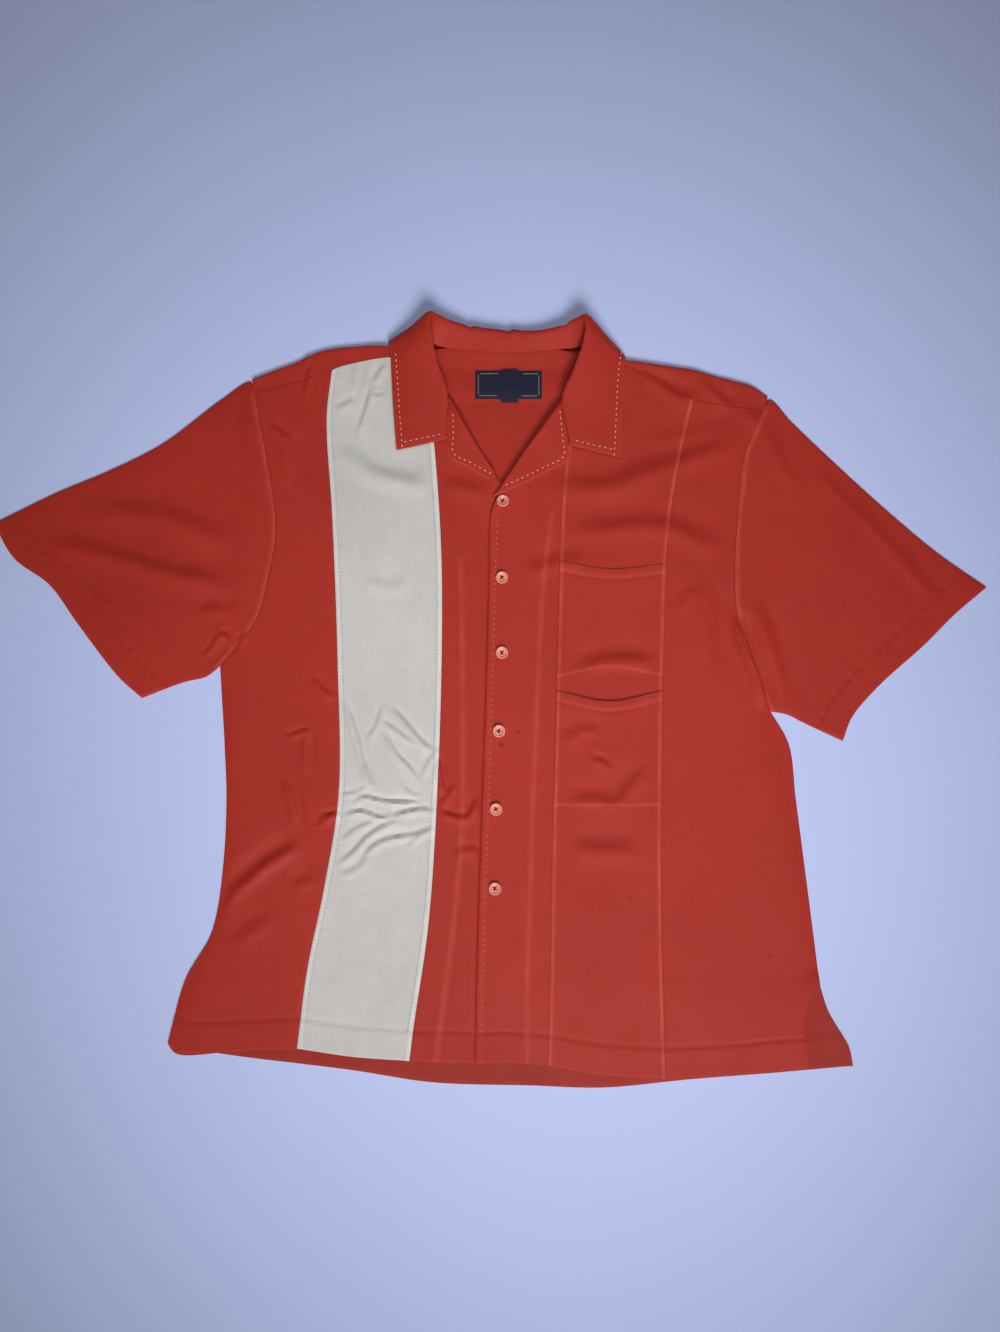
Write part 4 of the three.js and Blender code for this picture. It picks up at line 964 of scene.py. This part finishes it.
# ---- stitches and threads --------------------------------------------------------------------
def threads(name, runs, radius, size, pitch, arch=0.3, sway=0.0, lead=1.8):
    """Short rounded stitches along runs of points, each a little arched over the cloth."""
    sides = 6
    shares = np.array([0.0, 0.12, 0.35, 0.65, 0.88, 1.0])
    girth = np.array([0.45, 0.85, 1.0, 1.0, 0.85, 0.45]) * radius
    turn = np.linspace(0, 2 * math.pi, sides, endpoint=False)
    rng = np.random.default_rng(STITCH_SEED)
    points, faces = [], []
    for run in runs:
        reach = np.concatenate([[0], np.cumsum(np.linalg.norm(np.diff(run, axis=0), axis=1))])
        for start in np.arange(lead, reach[-1] - size + 0.01, pitch):
            start += rng.uniform(-0.06, 0.06) * lead
            at = start + shares * size * rng.uniform(0.92, 1.06)
            middle = np.stack([np.interp(at, reach, axis) for axis in run.T], axis=-1)
            along = middle[-1] - middle[0]
            along /= np.linalg.norm(along)
            aside = np.cross((0, 0, 1), along)
            aside /= np.linalg.norm(aside)
            above = np.cross(along, aside)
            lift = arch * np.sin(math.pi * shares) + radius * 0.25
            swing = rng.uniform(-1, 1) * sway * (shares - 0.5)
            middle += above * lift[:, None] + aside * swing[:, None]
            ring = (middle[:, None] + girth[:, None, None]
                    * (np.cos(turn)[None, :, None] * aside + 0.75 * np.sin(turn)[None, :, None] * above))
            base = len(points) * len(shares) * sides
            points.append(ring.reshape(-1, 3))
            for k in range(len(shares) - 1):
                for j in range(sides):
                    low, high = base + k * sides, base + (k + 1) * sides
                    faces.append((low + j, low + (j + 1) % sides, high + (j + 1) % sides, high + j))
            faces.append(tuple(base + j for j in reversed(range(sides))))
            faces.append(tuple(base + (len(shares) - 1) * sides + j for j in range(sides)))
    return piece(name, np.vstack(points), faces, sharp=70)


def on_front(rows, height, shift=0.0, above=CLOTH / 2):
    """A run of points on top of a front, along a line and moved sideways by shift."""
    run = line(rows, steps(length(rows)) * 2)
    across = np.gradient(run, axis=0)
    across = np.column_stack([-across[:, 1], across[:, 0]]) / np.linalg.norm(across, axis=1)[:, None]
    run = run + across * shift
    return np.column_stack([run, height(run[:, 0], run[:, 1]) + above])


def pick_runs():
    """Runs of the pick stitches: the collar's free edges, the lapels and last the front edge."""
    grid = collar_grid()
    top = grid + upward(grid) * (COLLAR_WALL / 2)
    runs = []

    def inset(points, distance):
        """The place on each profile that is a distance in from its last point."""
        reach = np.linalg.norm(np.diff(points[::-1], axis=0), axis=1).cumsum()
        index = np.interp(distance, np.concatenate([[0], reach]), np.arange(len(points)))
        index = len(points) - 1 - index
        low = int(index)
        return mix(points[low], points[min(low + 1, len(points) - 1)], index - low)

    # the leaf's edge where it lies on the fronts, and then the leaf's two ends
    shown = [k for k in range(len(top)) if top[k, -1, 2] > 6 and top[k, -1, 1] < 352]
    for group in ([k for k in shown if top[k, -1, 0] < 0], [k for k in shown if top[k, -1, 0] > 0]):
        runs.append(np.array([inset(top[k], PICK_INSET) for k in group]))
    for stations in (top, top[::-1]):
        inward = np.array([inset(stations[::-1, j], PICK_INSET) for j in range(stations.shape[1])])
        edge = np.linalg.norm(stations[0] - stations[0, -1], axis=-1)
        runs.append(inward[(edge > PICK_INSET) & (np.arange(len(edge)) > 6)])
    for rows, height in zip(LAPELS.values(), (front_height, lap_height)):
        lapel = lapel_grid(rows, height)
        upper = lapel + upward(lapel) * (CLOTH / 2)
        reach = np.linalg.norm(upper - upper[:, :1], axis=-1)
        run = []
        for section, away in zip(upper, reach):
            if away[:LAPEL["across"]].max() > PICK_INSET:
                index = np.interp(PICK_INSET, away[:LAPEL["across"]], np.arange(LAPEL["across"]))
                low = int(index)
                run.append(mix(section[low], section[low + 1], index - low))
        runs.append(np.array(run))
    runs.append(on_front(FRONT_EDGE[1:], lap_height, shift=PICK_INSET))
    return runs


def add_stitches():
    colours = bpy.context.scene.shirt_colours
    sizes = bpy.context.scene.shirt_cloth
    light = woven("pick_thread", colours.pick, roughness=0.6)
    grey = woven("stripe_thread", colours.stripe_thread, roughness=0.6)
    *collar_runs, edge_run = pick_runs()
    picks = threads("pick_stitches", collar_runs, radius=0.46, size=2.4,
                    pitch=sizes.pick_pitch, sway=0.5)
    dressed(picks, light)
    faint = woven("edge_thread", colours.edge_pick, roughness=0.6)
    picks = threads("edge_stitches", [edge_run], radius=0.36, size=2.0,
                    pitch=sizes.pick_pitch, sway=0.4)
    dressed(picks, faint)
    runs = [on_front(STRIPE_OUTER, front_height, shift=STRIPE_INSET),
            on_front(STRIPE_INNER[1:], front_height, shift=-STRIPE_INSET)]
    dressed(threads("stripe_stitches", runs, radius=0.3, size=2.4, pitch=4.0, arch=0.1, sway=0.3),
            grey)


# ---- buttons ---------------------------------------------------------------------------------
def button_mesh():
    """One four-hole button with a raised rim, its foot at the origin."""
    radius, rim, base, edge = (BUTTON[k] for k in ("radius", "rim", "base", "edge"))
    profile = [(0, 0), (radius - 1.0, 0), (radius - 0.35, 0.25), (radius, 0.95), (radius, edge - 0.8),
               (radius - 0.15, edge - 0.3), (radius - 0.5, edge), (radius - rim + 0.2, edge),
               (radius - rim - 0.2, edge - 0.25), (radius - rim - 0.6, base + 0.25),
               (radius - rim - 1.1, base), (0, base - 0.1)]
    shape = bmesh.new()
    ring = [shape.verts.new((r, 0, z)) for r, z in profile]
    rows = [shape.edges.new(pair) for pair in zip(ring, ring[1:])]
    bmesh.ops.spin(shape, geom=ring + rows, axis=(0, 0, 1), cent=(0, 0, 0), angle=2 * math.pi,
                   steps=BUTTON_STEPS, use_duplicate=False)
    bmesh.ops.remove_doubles(shape, verts=shape.verts, dist=1e-4)
    bmesh.ops.recalc_face_normals(shape, faces=shape.faces)
    disc = bpy.data.meshes.new("button_disc")
    shape.to_mesh(disc)
    shape.free()
    drills = bmesh.new()
    for sx, sy in HOLE_SIDES:
        made = bmesh.ops.create_cone(drills, cap_ends=True, segments=14, radius1=BUTTON["hole"],
                                     radius2=BUTTON["hole"], depth=3 * edge)
        spot = (sx * BUTTON["pitch"], sy * BUTTON["pitch"], edge / 2)
        bmesh.ops.translate(drills, verts=made["verts"], vec=spot)
    holes = bpy.data.meshes.new("button_holes")
    drills.to_mesh(holes)
    drills.free()
    body = bpy.data.objects.new("button_disc", disc)
    tool = bpy.data.objects.new("button_holes", holes)
    for obj in (body, tool):
        bpy.context.scene.collection.objects.link(obj)
    cut = body.modifiers.new("holes", "BOOLEAN")
    cut.operation = "DIFFERENCE"
    cut.object = tool
    cut.solver = "EXACT"
    graph = bpy.context.evaluated_depsgraph_get()
    made = bpy.data.meshes.new_from_object(body.evaluated_get(graph))
    for obj in (body, tool):
        bpy.data.objects.remove(obj)
    points = np.array([v.co for v in made.vertices])
    faces = [tuple(p.vertices) for p in made.polygons]
    bpy.data.meshes.remove(made)
    return points, faces


def add_buttons():
    colours = bpy.context.scene.shirt_colours
    resin = button_resin()
    cotton = woven("button_thread", colours.button_thread, roughness=0.75)
    points, faces = button_mesh()
    for index, (x, y) in enumerate(BUTTONS):
        foot = float(lap_height(x, y)) + CLOTH / 2 + BUTTON_LIFT
        turn = math.radians(BUTTON_TURNS[index])
        lean = math.radians(BUTTON_LEANS[index])
        spin = np.array([[math.cos(turn), -math.sin(turn), 0], [math.sin(turn), math.cos(turn), 0],
                         [0, 0, 1]])
        tilt = np.array([[1, 0, 0], [0, math.cos(lean), -math.sin(lean)],
                         [0, math.sin(lean), math.cos(lean)]])
        place = tilt @ spin
        button = piece(f"button_{index + 1}_resin", points @ place.T + (x, y, foot), faces, sharp=38)
        dressed(button, resin, [f"button_{index + 1}"])
        runs = []
        pitch, top = BUTTON["pitch"], BUTTON["base"]
        for side in (-1, 1):
            for nudge in (-0.9, -0.3, 0.3):
                bar = np.array([(-pitch - 0.3, side * (pitch * 0.6 + nudge), top + 0.05),
                                (-pitch * 0.5, side * (pitch * 0.6 + nudge), top + 0.3),
                                (pitch * 0.5, side * (pitch * 0.6 + nudge), top + 0.3),
                                (pitch + 0.3, side * (pitch * 0.6 + nudge), top + 0.05)])
                runs.append(line(bar @ place.T + (x, y, foot), 12))
        bars = threads(f"button_{index + 1}_thread", runs, radius=0.34, size=2 * pitch, pitch=9,
                       arch=0.1, lead=0.0)
        dressed(bars, cotton)


# ---- materials -------------------------------------------------------------------------------
def nodes_of(name):
    """A new material with a Principled surface and object coordinates, and its node tree."""
    material = bpy.data.materials.new(name)
    material.use_nodes = True
    tree = material.node_tree
    shader = tree.nodes["Principled BSDF"]
    where = tree.nodes.new("ShaderNodeTexCoord")
    return material, tree, shader, where.outputs["Object"]


def noise(tree, where, scale, detail=3.0, roughness=0.5):
    node = tree.nodes.new("ShaderNodeTexNoise")
    node.inputs["Scale"].default_value = scale
    node.inputs["Detail"].default_value = detail
    node.inputs["Roughness"].default_value = roughness
    tree.links.new(where, node.inputs["Vector"])
    return node.outputs["Fac"]


def ranged(tree, value, low, high, to_low, to_high):
    node = tree.nodes.new("ShaderNodeMapRange")
    for key, number in (("From Min", low), ("From Max", high), ("To Min", to_low), ("To Max", to_high)):
        node.inputs[key].default_value = number
    tree.links.new(value, node.inputs["Value"])
    return node.outputs["Result"]


def mixed(tree, factor, first, second):
    """A colour between two: each is a socket or a plain colour."""
    node = tree.nodes.new("ShaderNodeMix")
    node.data_type = "RGBA"
    tree.links.new(factor, node.inputs["Factor"])
    for key, colour in (("A", first), ("B", second)):
        socket = next(s for s in node.inputs if s.name == key and s.type == "RGBA")
        if isinstance(colour, bpy.types.NodeSocket):
            tree.links.new(colour, socket)
        else:
            socket.default_value = (*colour, 1)
    return next(s for s in node.outputs if s.type == "RGBA")


def sums(tree, operation, first, second):
    node = tree.nodes.new("ShaderNodeMath")
    node.operation = operation
    for socket, value in zip(node.inputs, (first, second)):
        if isinstance(value, bpy.types.NodeSocket):
            tree.links.new(value, socket)
        else:
            socket.default_value = value
    return node.outputs[0]


def crossed_threads(tree, where, pitch):
    """Height of a plain weave: threads along X and Y, a pitch apart in metres."""
    waves = []
    for direction in ("X", "Y"):
        node = tree.nodes.new("ShaderNodeTexWave")
        node.bands_direction = direction
        node.inputs["Scale"].default_value = WAVE_SCALE / pitch
        node.inputs["Distortion"].default_value = 0.6
        node.inputs["Detail"].default_value = 1.0
        tree.links.new(where, node.inputs["Vector"])
        waves.append(node.outputs["Fac"])
    return sums(tree, "MULTIPLY", *waves)


def tinted(colour, share):
    return tuple(min(1.0, c * share) for c in colour)


def bumped(tree, shader, height, strength, distance):
    node = tree.nodes.new("ShaderNodeBump")
    node.inputs["Strength"].default_value = strength
    node.inputs["Distance"].default_value = distance
    tree.links.new(height, node.inputs["Height"])
    tree.links.new(node.outputs["Normal"], shader.inputs["Normal"])


def silk(name, colour, worn_and_highlight, sheen, stains=()):
    """Washed silk: a fine weave, slow changes of shade, and paler along seams and edges, partly from
    rubbing and partly painted highlight.
    """
    if name in bpy.data.materials:
        return bpy.data.materials[name]
    material, tree, shader, where = nodes_of(name)
    slow = ranged(tree, noise(tree, where, 7.0, 2.0), 0.3, 0.7, 0.0, 1.0)
    base = mixed(tree, slow, tinted(colour, 0.93), tinted(colour, 1.06))
    for stretch in ((1.0, 0.07, 1.0), (0.07, 1.0, 1.0)):
        drawn = tree.nodes.new("ShaderNodeVectorMath")
        drawn.operation = "MULTIPLY"
        drawn.inputs[1].default_value = stretch
        tree.links.new(where, drawn.inputs[0])
        slub = ranged(tree, noise(tree, drawn.outputs["Vector"], 520.0, 3.0, 0.6), 0.4, 0.7, 0.0, 0.2)
        base = mixed(tree, slub, base, tinted(colour, 0.78))
    bloom = ranged(tree, noise(tree, where, 60.0, 4.0, 0.7), 0.4, 0.75, 0.0, 0.22)
    base = mixed(tree, bloom, base, tinted(colour, 1.3))
    grain = ranged(tree, noise(tree, where, 900.0, 2.0, 0.7), 0.35, 0.65, 0.0, 0.2)
    base = mixed(tree, grain, base, tinted(colour, 0.7))
    # the paler colour laid along seams and edges by the cloth's mask: partly rubbing, partly painted
    # highlight
    rub_and_highlight = tree.nodes.new("ShaderNodeAttribute")
    rub_and_highlight.attribute_name = "wear_and_highlight"
    patchy_rub_and_highlight = sums(tree, "MULTIPLY", rub_and_highlight.outputs["Fac"],
                  ranged(tree, noise(tree, where, 55.0, 3.0), 0.3, 0.7, 0.25, 0.6))
    base = mixed(tree, patchy_rub_and_highlight, base, worn_and_highlight)
    for x, y, size, dark in stains:
        spot = tree.nodes.new("ShaderNodeVectorMath")
        spot.operation = "DISTANCE"
        flat = tree.nodes.new("ShaderNodeVectorMath")
        flat.operation = "MULTIPLY"
        flat.inputs[1].default_value = (1, 1, 0)
        tree.links.new(where, flat.inputs[0])
        tree.links.new(flat.outputs["Vector"], spot.inputs[0])
        spot.inputs[1].default_value = (x * MM, y * MM, 0)
        half = size * MM / 2
        ragged = sums(tree, "ADD", spot.outputs["Value"],
                      ranged(tree, noise(tree, where, 420.0, 2.0), 0.3, 0.7, -half, half))
        mark = ranged(tree, ragged, size * MM * 0.5, size * MM * 1.1, dark, 0.0)
        base = mixed(tree, mark, base, STAIN_COLOUR)
    tree.links.new(base, shader.inputs["Base Color"])
    rough = ranged(tree, noise(tree, where, 30.0, 3.0), 0.3, 0.7, 0.5, 0.62)
    tree.links.new(rough, shader.inputs["Roughness"])
    shader.inputs["Specular IOR Level"].default_value = 0.22
    shader.inputs["Sheen Weight"].default_value = sheen
    shader.inputs["Sheen Roughness"].default_value = 0.45
    shader.inputs["Sheen Tint"].default_value = (*tinted(worn_and_highlight, 1.3), 1)
    fuzz = noise(tree, where, 1500.0, 2.0, 0.6)
    creped = sums(tree, "ADD", crossed_threads(tree, where, 0.0006), sums(tree, "MULTIPLY", fuzz, 0.8))
    bumped(tree, shader, creped, 0.22, 0.0003)
    return material


def body_cloth():
    colours = bpy.context.scene.shirt_colours
    return silk("red_silk", colours.body, colours.body_worn_and_highlight, 0.12, STAINS)


# A darker copy of the body red, with less sheen, for the back where it shows at the vent and below the
# hem: painted shade.
def shaded_back_cloth():
    colours = bpy.context.scene.shirt_colours
    return silk("red_silk_painted_shade", tinted(colours.body, 0.84), tinted(colours.body_worn_and_highlight, 0.9), 0.08)


def stripe_cloth():
    colours = bpy.context.scene.shirt_colours
    return silk("cream_silk", colours.stripe, colours.stripe_worn_and_highlight, 0.1)


def woven(name, colour, roughness):
    """Thread and label weave: close ribs with a slight change of shade."""
    material, tree, shader, where = nodes_of(name)
    shade = ranged(tree, noise(tree, where, 260.0, 3.0), 0.3, 0.7, 0.0, 1.0)
    base = mixed(tree, shade, tinted(colour, 0.82), tinted(colour, 1.1))
    tree.links.new(base, shader.inputs["Base Color"])
    rough = ranged(tree, noise(tree, where, 400.0), 0.3, 0.7, roughness - 0.08, roughness + 0.08)
    tree.links.new(rough, shader.inputs["Roughness"])
    shader.inputs["Specular IOR Level"].default_value = 0.3
    bumped(tree, shader, crossed_threads(tree, where, 0.0005), 0.3, 0.0002)
    return material


def button_resin():
    """Cast resin with a faint pearl, a little duller where it has rubbed."""
    colour = bpy.context.scene.shirt_colours.button
    material, tree, shader, where = nodes_of("button_resin")
    cloud = ranged(tree, noise(tree, where, 240.0, 4.0), 0.3, 0.7, 0.0, 1.0)
    base = mixed(tree, cloud, tinted(colour, 0.86), tinted(colour, 1.12))
    tree.links.new(base, shader.inputs["Base Color"])
    rough = ranged(tree, noise(tree, where, 500.0, 3.0), 0.3, 0.7, 0.2, 0.36)
    tree.links.new(rough, shader.inputs["Roughness"])
    shader.inputs["Coat Weight"].default_value = 0.25
    shader.inputs["Coat Roughness"].default_value = 0.12
    shader.inputs["Subsurface Weight"].default_value = 0.15
    shader.inputs["Subsurface Radius"].default_value = (0.002, 0.0008, 0.0006)
    bumped(tree, shader, noise(tree, where, 700.0, 3.0), 0.08, 0.0001)
    return material


def stage_paper():
    colour = bpy.context.scene.shirt_colours.floor
    material, tree, shader, where = nodes_of("stage_sheet")
    cloud = ranged(tree, noise(tree, where, 1.6, 3.0), 0.3, 0.7, 0.0, 1.0)
    tree.links.new(mixed(tree, cloud, tinted(colour, 0.98), tinted(colour, 1.02)),
                   shader.inputs["Base Color"])
    shader.inputs["Roughness"].default_value = 0.85
    shader.inputs["Specular IOR Level"].default_value = 0.2
    bumped(tree, shader, noise(tree, where, 3.0, 2.0), 0.15, 0.01)
    return material


# ---- stage -----------------------------------------------------------------------------------
def add_stage():
    scene = bpy.context.scene
    sizes = scene.shirt_stage
    camera = bpy.data.objects.new("camera", bpy.data.cameras.new("camera"))
    scene.collection.objects.link(camera)
    lean = sizes.camera_lean
    camera.location = (CAMERA_OVER[0], CAMERA_OVER[1] - sizes.camera_distance * math.sin(lean),
                       sizes.camera_distance * math.cos(lean))
    camera.rotation_euler = (lean, 0, 0)
    camera.data.sensor_fit = "HORIZONTAL"
    camera.data.sensor_width = 36
    camera.data.lens = 36
    camera.data.clip_start = 0.01
    scene.camera = camera
    half = sizes.floor_width / 2
    corners = [(-half, -half, 0), (half, -half, 0), (half, half, 0), (-half, half, 0)]
    floor = piece("floor", np.array(corners) / MM - (0, 0, 0.05), [(0, 1, 2, 3)])
    floor.data.materials.append(stage_paper())
    for name, place, aim, width, power, colour in STAGE_LIGHTS:
        lamp = bpy.data.lights.new(name, "AREA")
        lamp.shape = "DISK"
        lamp.size = width
        lamp.spread = LAMP_SPREAD
        lamp.energy = power * sizes.light
        lamp.color = colour
        obj = bpy.data.objects.new(name, lamp)
        scene.collection.objects.link(obj)
        obj.location = place
        toward = Vector(aim) - Vector(place)
        obj.rotation_euler = toward.to_track_quat("-Z", "Y").to_euler()
    world = bpy.data.worlds.new("soft_room")
    world.use_nodes = True
    room = world.node_tree.nodes["Background"]
    room.inputs["Color"].default_value = (*ROOM_COLOUR, 1)
    room.inputs["Strength"].default_value = sizes.room_light
    scene.world = world
    scene.view_settings.view_transform = "Standard"


# ---- add-on ----------------------------------------------------------------------------------
class ShirtCloth(PropertyGroup):
    pitch: FloatProperty(name="Grid pitch", description="Spacing of the cloth's grid, in mm",
                         default=2.4, min=1.2, max=8)
    crease_depth: FloatProperty(name="Crease depth", description="Share of the creases' full depth",
                                default=1.15, min=0, max=1.5, subtype="FACTOR")
    pick_pitch: FloatProperty(name="Pick pitch", description="From one pick stitch to the next, in mm",
                              default=6.0, min=4, max=12)


def colour_property(name, description, default):
    return FloatVectorProperty(name=name, description=description, default=default, size=3,
                               min=0, max=1, subtype="COLOR")


class ShirtColours(PropertyGroup):
    body: colour_property("Body", "Red of the body, sleeves and collar", (0.44, 0.0275, 0.0155))
    # paler red painted along seams and edges: partly rubbing, partly painted highlight
    body_worn_and_highlight: colour_property("Body, rubbed", "The red where a seam is rubbed", (0.74, 0.125, 0.09))
    stripe: colour_property("Stripe", "Cream of the stripe", (0.635, 0.615, 0.59))
    # near-white painted along the stripe's seams and edges: partly rubbing, partly painted highlight
    stripe_worn_and_highlight: colour_property("Stripe, rubbed", "The cream along its seams", (1.0, 0.99, 0.98))
    stripe_thread: colour_property("Stripe thread", "Stitches in the stripe", (0.3, 0.29, 0.3))
    pick: colour_property("Pick thread", "Pick stitches along the edges", (0.85, 0.55, 0.4))
    button: colour_property("Buttons", "Resin of the buttons", (0.86, 0.3, 0.22))
    edge_pick: colour_property("Edge stitches", "Fainter thread along the front edge",
                               (0.66, 0.22, 0.15))
    button_thread: colour_property("Button thread", "Thread in the buttons", (0.2, 0.018, 0.012))
    label: colour_property("Label", "Navy of the labels", (0.012, 0.012, 0.035))
    border: colour_property("Label border", "Line woven round the label", (0.3, 0.28, 0.22))
    floor: colour_property("Floor", "Sheet under the shirt", (0.57, 0.65, 1.0))


class ShirtStage(PropertyGroup):
    camera_distance: FloatProperty(name="Camera distance", description="Camera to the shirt's middle",
                                   default=1.03, min=0.5, max=4, unit="LENGTH", subtype="DISTANCE")
    camera_lean: FloatProperty(name="Camera lean", description="Tilt of the camera from straight down",
                               default=math.radians(5), min=0, max=1.2, subtype="ANGLE")
    floor_width: FloatProperty(name="Floor width", description="Width of the floor",
                               default=8, min=2, max=20, unit="LENGTH", subtype="DISTANCE")
    light: FloatProperty(name="Light", description="Share of the lamps' full power",
                         default=1.0, min=0, max=4, subtype="FACTOR")
    room_light: FloatProperty(name="Room light", description="Strength of the even light all round",
                              default=0.095, min=0, max=2)


class SHIRT_OT_stage(Operator):
    """Camera, floor and soft light"""
    bl_idname = "shirt.stage"
    bl_label = "Stage"

    def execute(self, context):
        add_stage()
        return {"FINISHED"}


class SHIRT_OT_back_and_yoke(Operator):
    """The back on the floor and the yoke folded over both shoulders"""
    bl_idname = "shirt.back_and_yoke"
    bl_label = "Back and yoke"

    def execute(self, context):
        add_back()
        add_yoke()
        return {"FINISHED"}


class SHIRT_OT_fronts(Operator):
    """The six front panels between their seams"""
    bl_idname = "shirt.fronts"
    bl_label = "Fronts"

    def execute(self, context):
        add_fronts()
        return {"FINISHED"}


class SHIRT_OT_pockets(Operator):
    """Both pockets, caught in the panel's seams"""
    bl_idname = "shirt.pockets"
    bl_label = "Pockets"

    def execute(self, context):
        add_pockets()
        return {"FINISHED"}


class SHIRT_OT_sleeves(Operator):
    """Both sleeves as flattened tubes"""
    bl_idname = "shirt.sleeves"
    bl_label = "Sleeves"

    def execute(self, context):
        add_sleeves()
        return {"FINISHED"}


class SHIRT_OT_collar(Operator):
    """The collar over its roll line and the two lapels"""
    bl_idname = "shirt.collar"
    bl_label = "Collar and lapels"

    def execute(self, context):
        add_collar()
        add_lapels()
        return {"FINISHED"}


class SHIRT_OT_labels(Operator):
    """The bare neck label and the tab over it"""
    bl_idname = "shirt.labels"
    bl_label = "Labels"

    def execute(self, context):
        add_labels()
        return {"FINISHED"}


class SHIRT_OT_stitches(Operator):
    """Pick stitches along the edges and the stripe's own stitches"""
    bl_idname = "shirt.stitches"
    bl_label = "Stitches"

    def execute(self, context):
        add_stitches()
        return {"FINISHED"}


class SHIRT_OT_buttons(Operator):
    """Six four-hole buttons and their thread"""
    bl_idname = "shirt.buttons"
    bl_label = "Buttons"

    def execute(self, context):
        add_buttons()
        return {"FINISHED"}


OPERATORS = (
    SHIRT_OT_stage, SHIRT_OT_back_and_yoke, SHIRT_OT_fronts, SHIRT_OT_pockets, SHIRT_OT_sleeves,
    SHIRT_OT_collar, SHIRT_OT_labels, SHIRT_OT_stitches, SHIRT_OT_buttons,
)
SETTINGS = {"shirt_cloth": ShirtCloth, "shirt_colours": ShirtColours, "shirt_stage": ShirtStage}


class SHIRT_PT_parts(Panel):
    """Sizes, colours and the parts of the shirt in the order they are made"""
    bl_idname = "SHIRT_PT_parts"
    bl_label = "Laid bowling shirt"
    bl_space_type = "VIEW_3D"
    bl_region_type = "UI"
    bl_category = "Shirt"

    def draw(self, context):
        for setting, group in SETTINGS.items():
            box = self.layout.box()
            for key in group.__annotations__:
                box.prop(getattr(context.scene, setting), key)
        for made in OPERATORS:
            self.layout.operator(made.bl_idname)


def register():
    for made in (*SETTINGS.values(), *OPERATORS, SHIRT_PT_parts):
        bpy.utils.register_class(made)
    for setting, group in SETTINGS.items():
        setattr(bpy.types.Scene, setting, PointerProperty(type=group))


def unregister():
    for setting in SETTINGS:
        delattr(bpy.types.Scene, setting)
    for made in reversed((*SETTINGS.values(), *OPERATORS, SHIRT_PT_parts)):
        bpy.utils.unregister_class(made)


def main():
    register()
    bpy.ops.shirt.stage()
    bpy.ops.shirt.back_and_yoke()
    bpy.ops.shirt.fronts()
    bpy.ops.shirt.pockets()
    bpy.ops.shirt.sleeves()
    bpy.ops.shirt.collar()
    bpy.ops.shirt.labels()
    bpy.ops.shirt.stitches()
    bpy.ops.shirt.buttons()


if __name__ == "__main__":
    main()
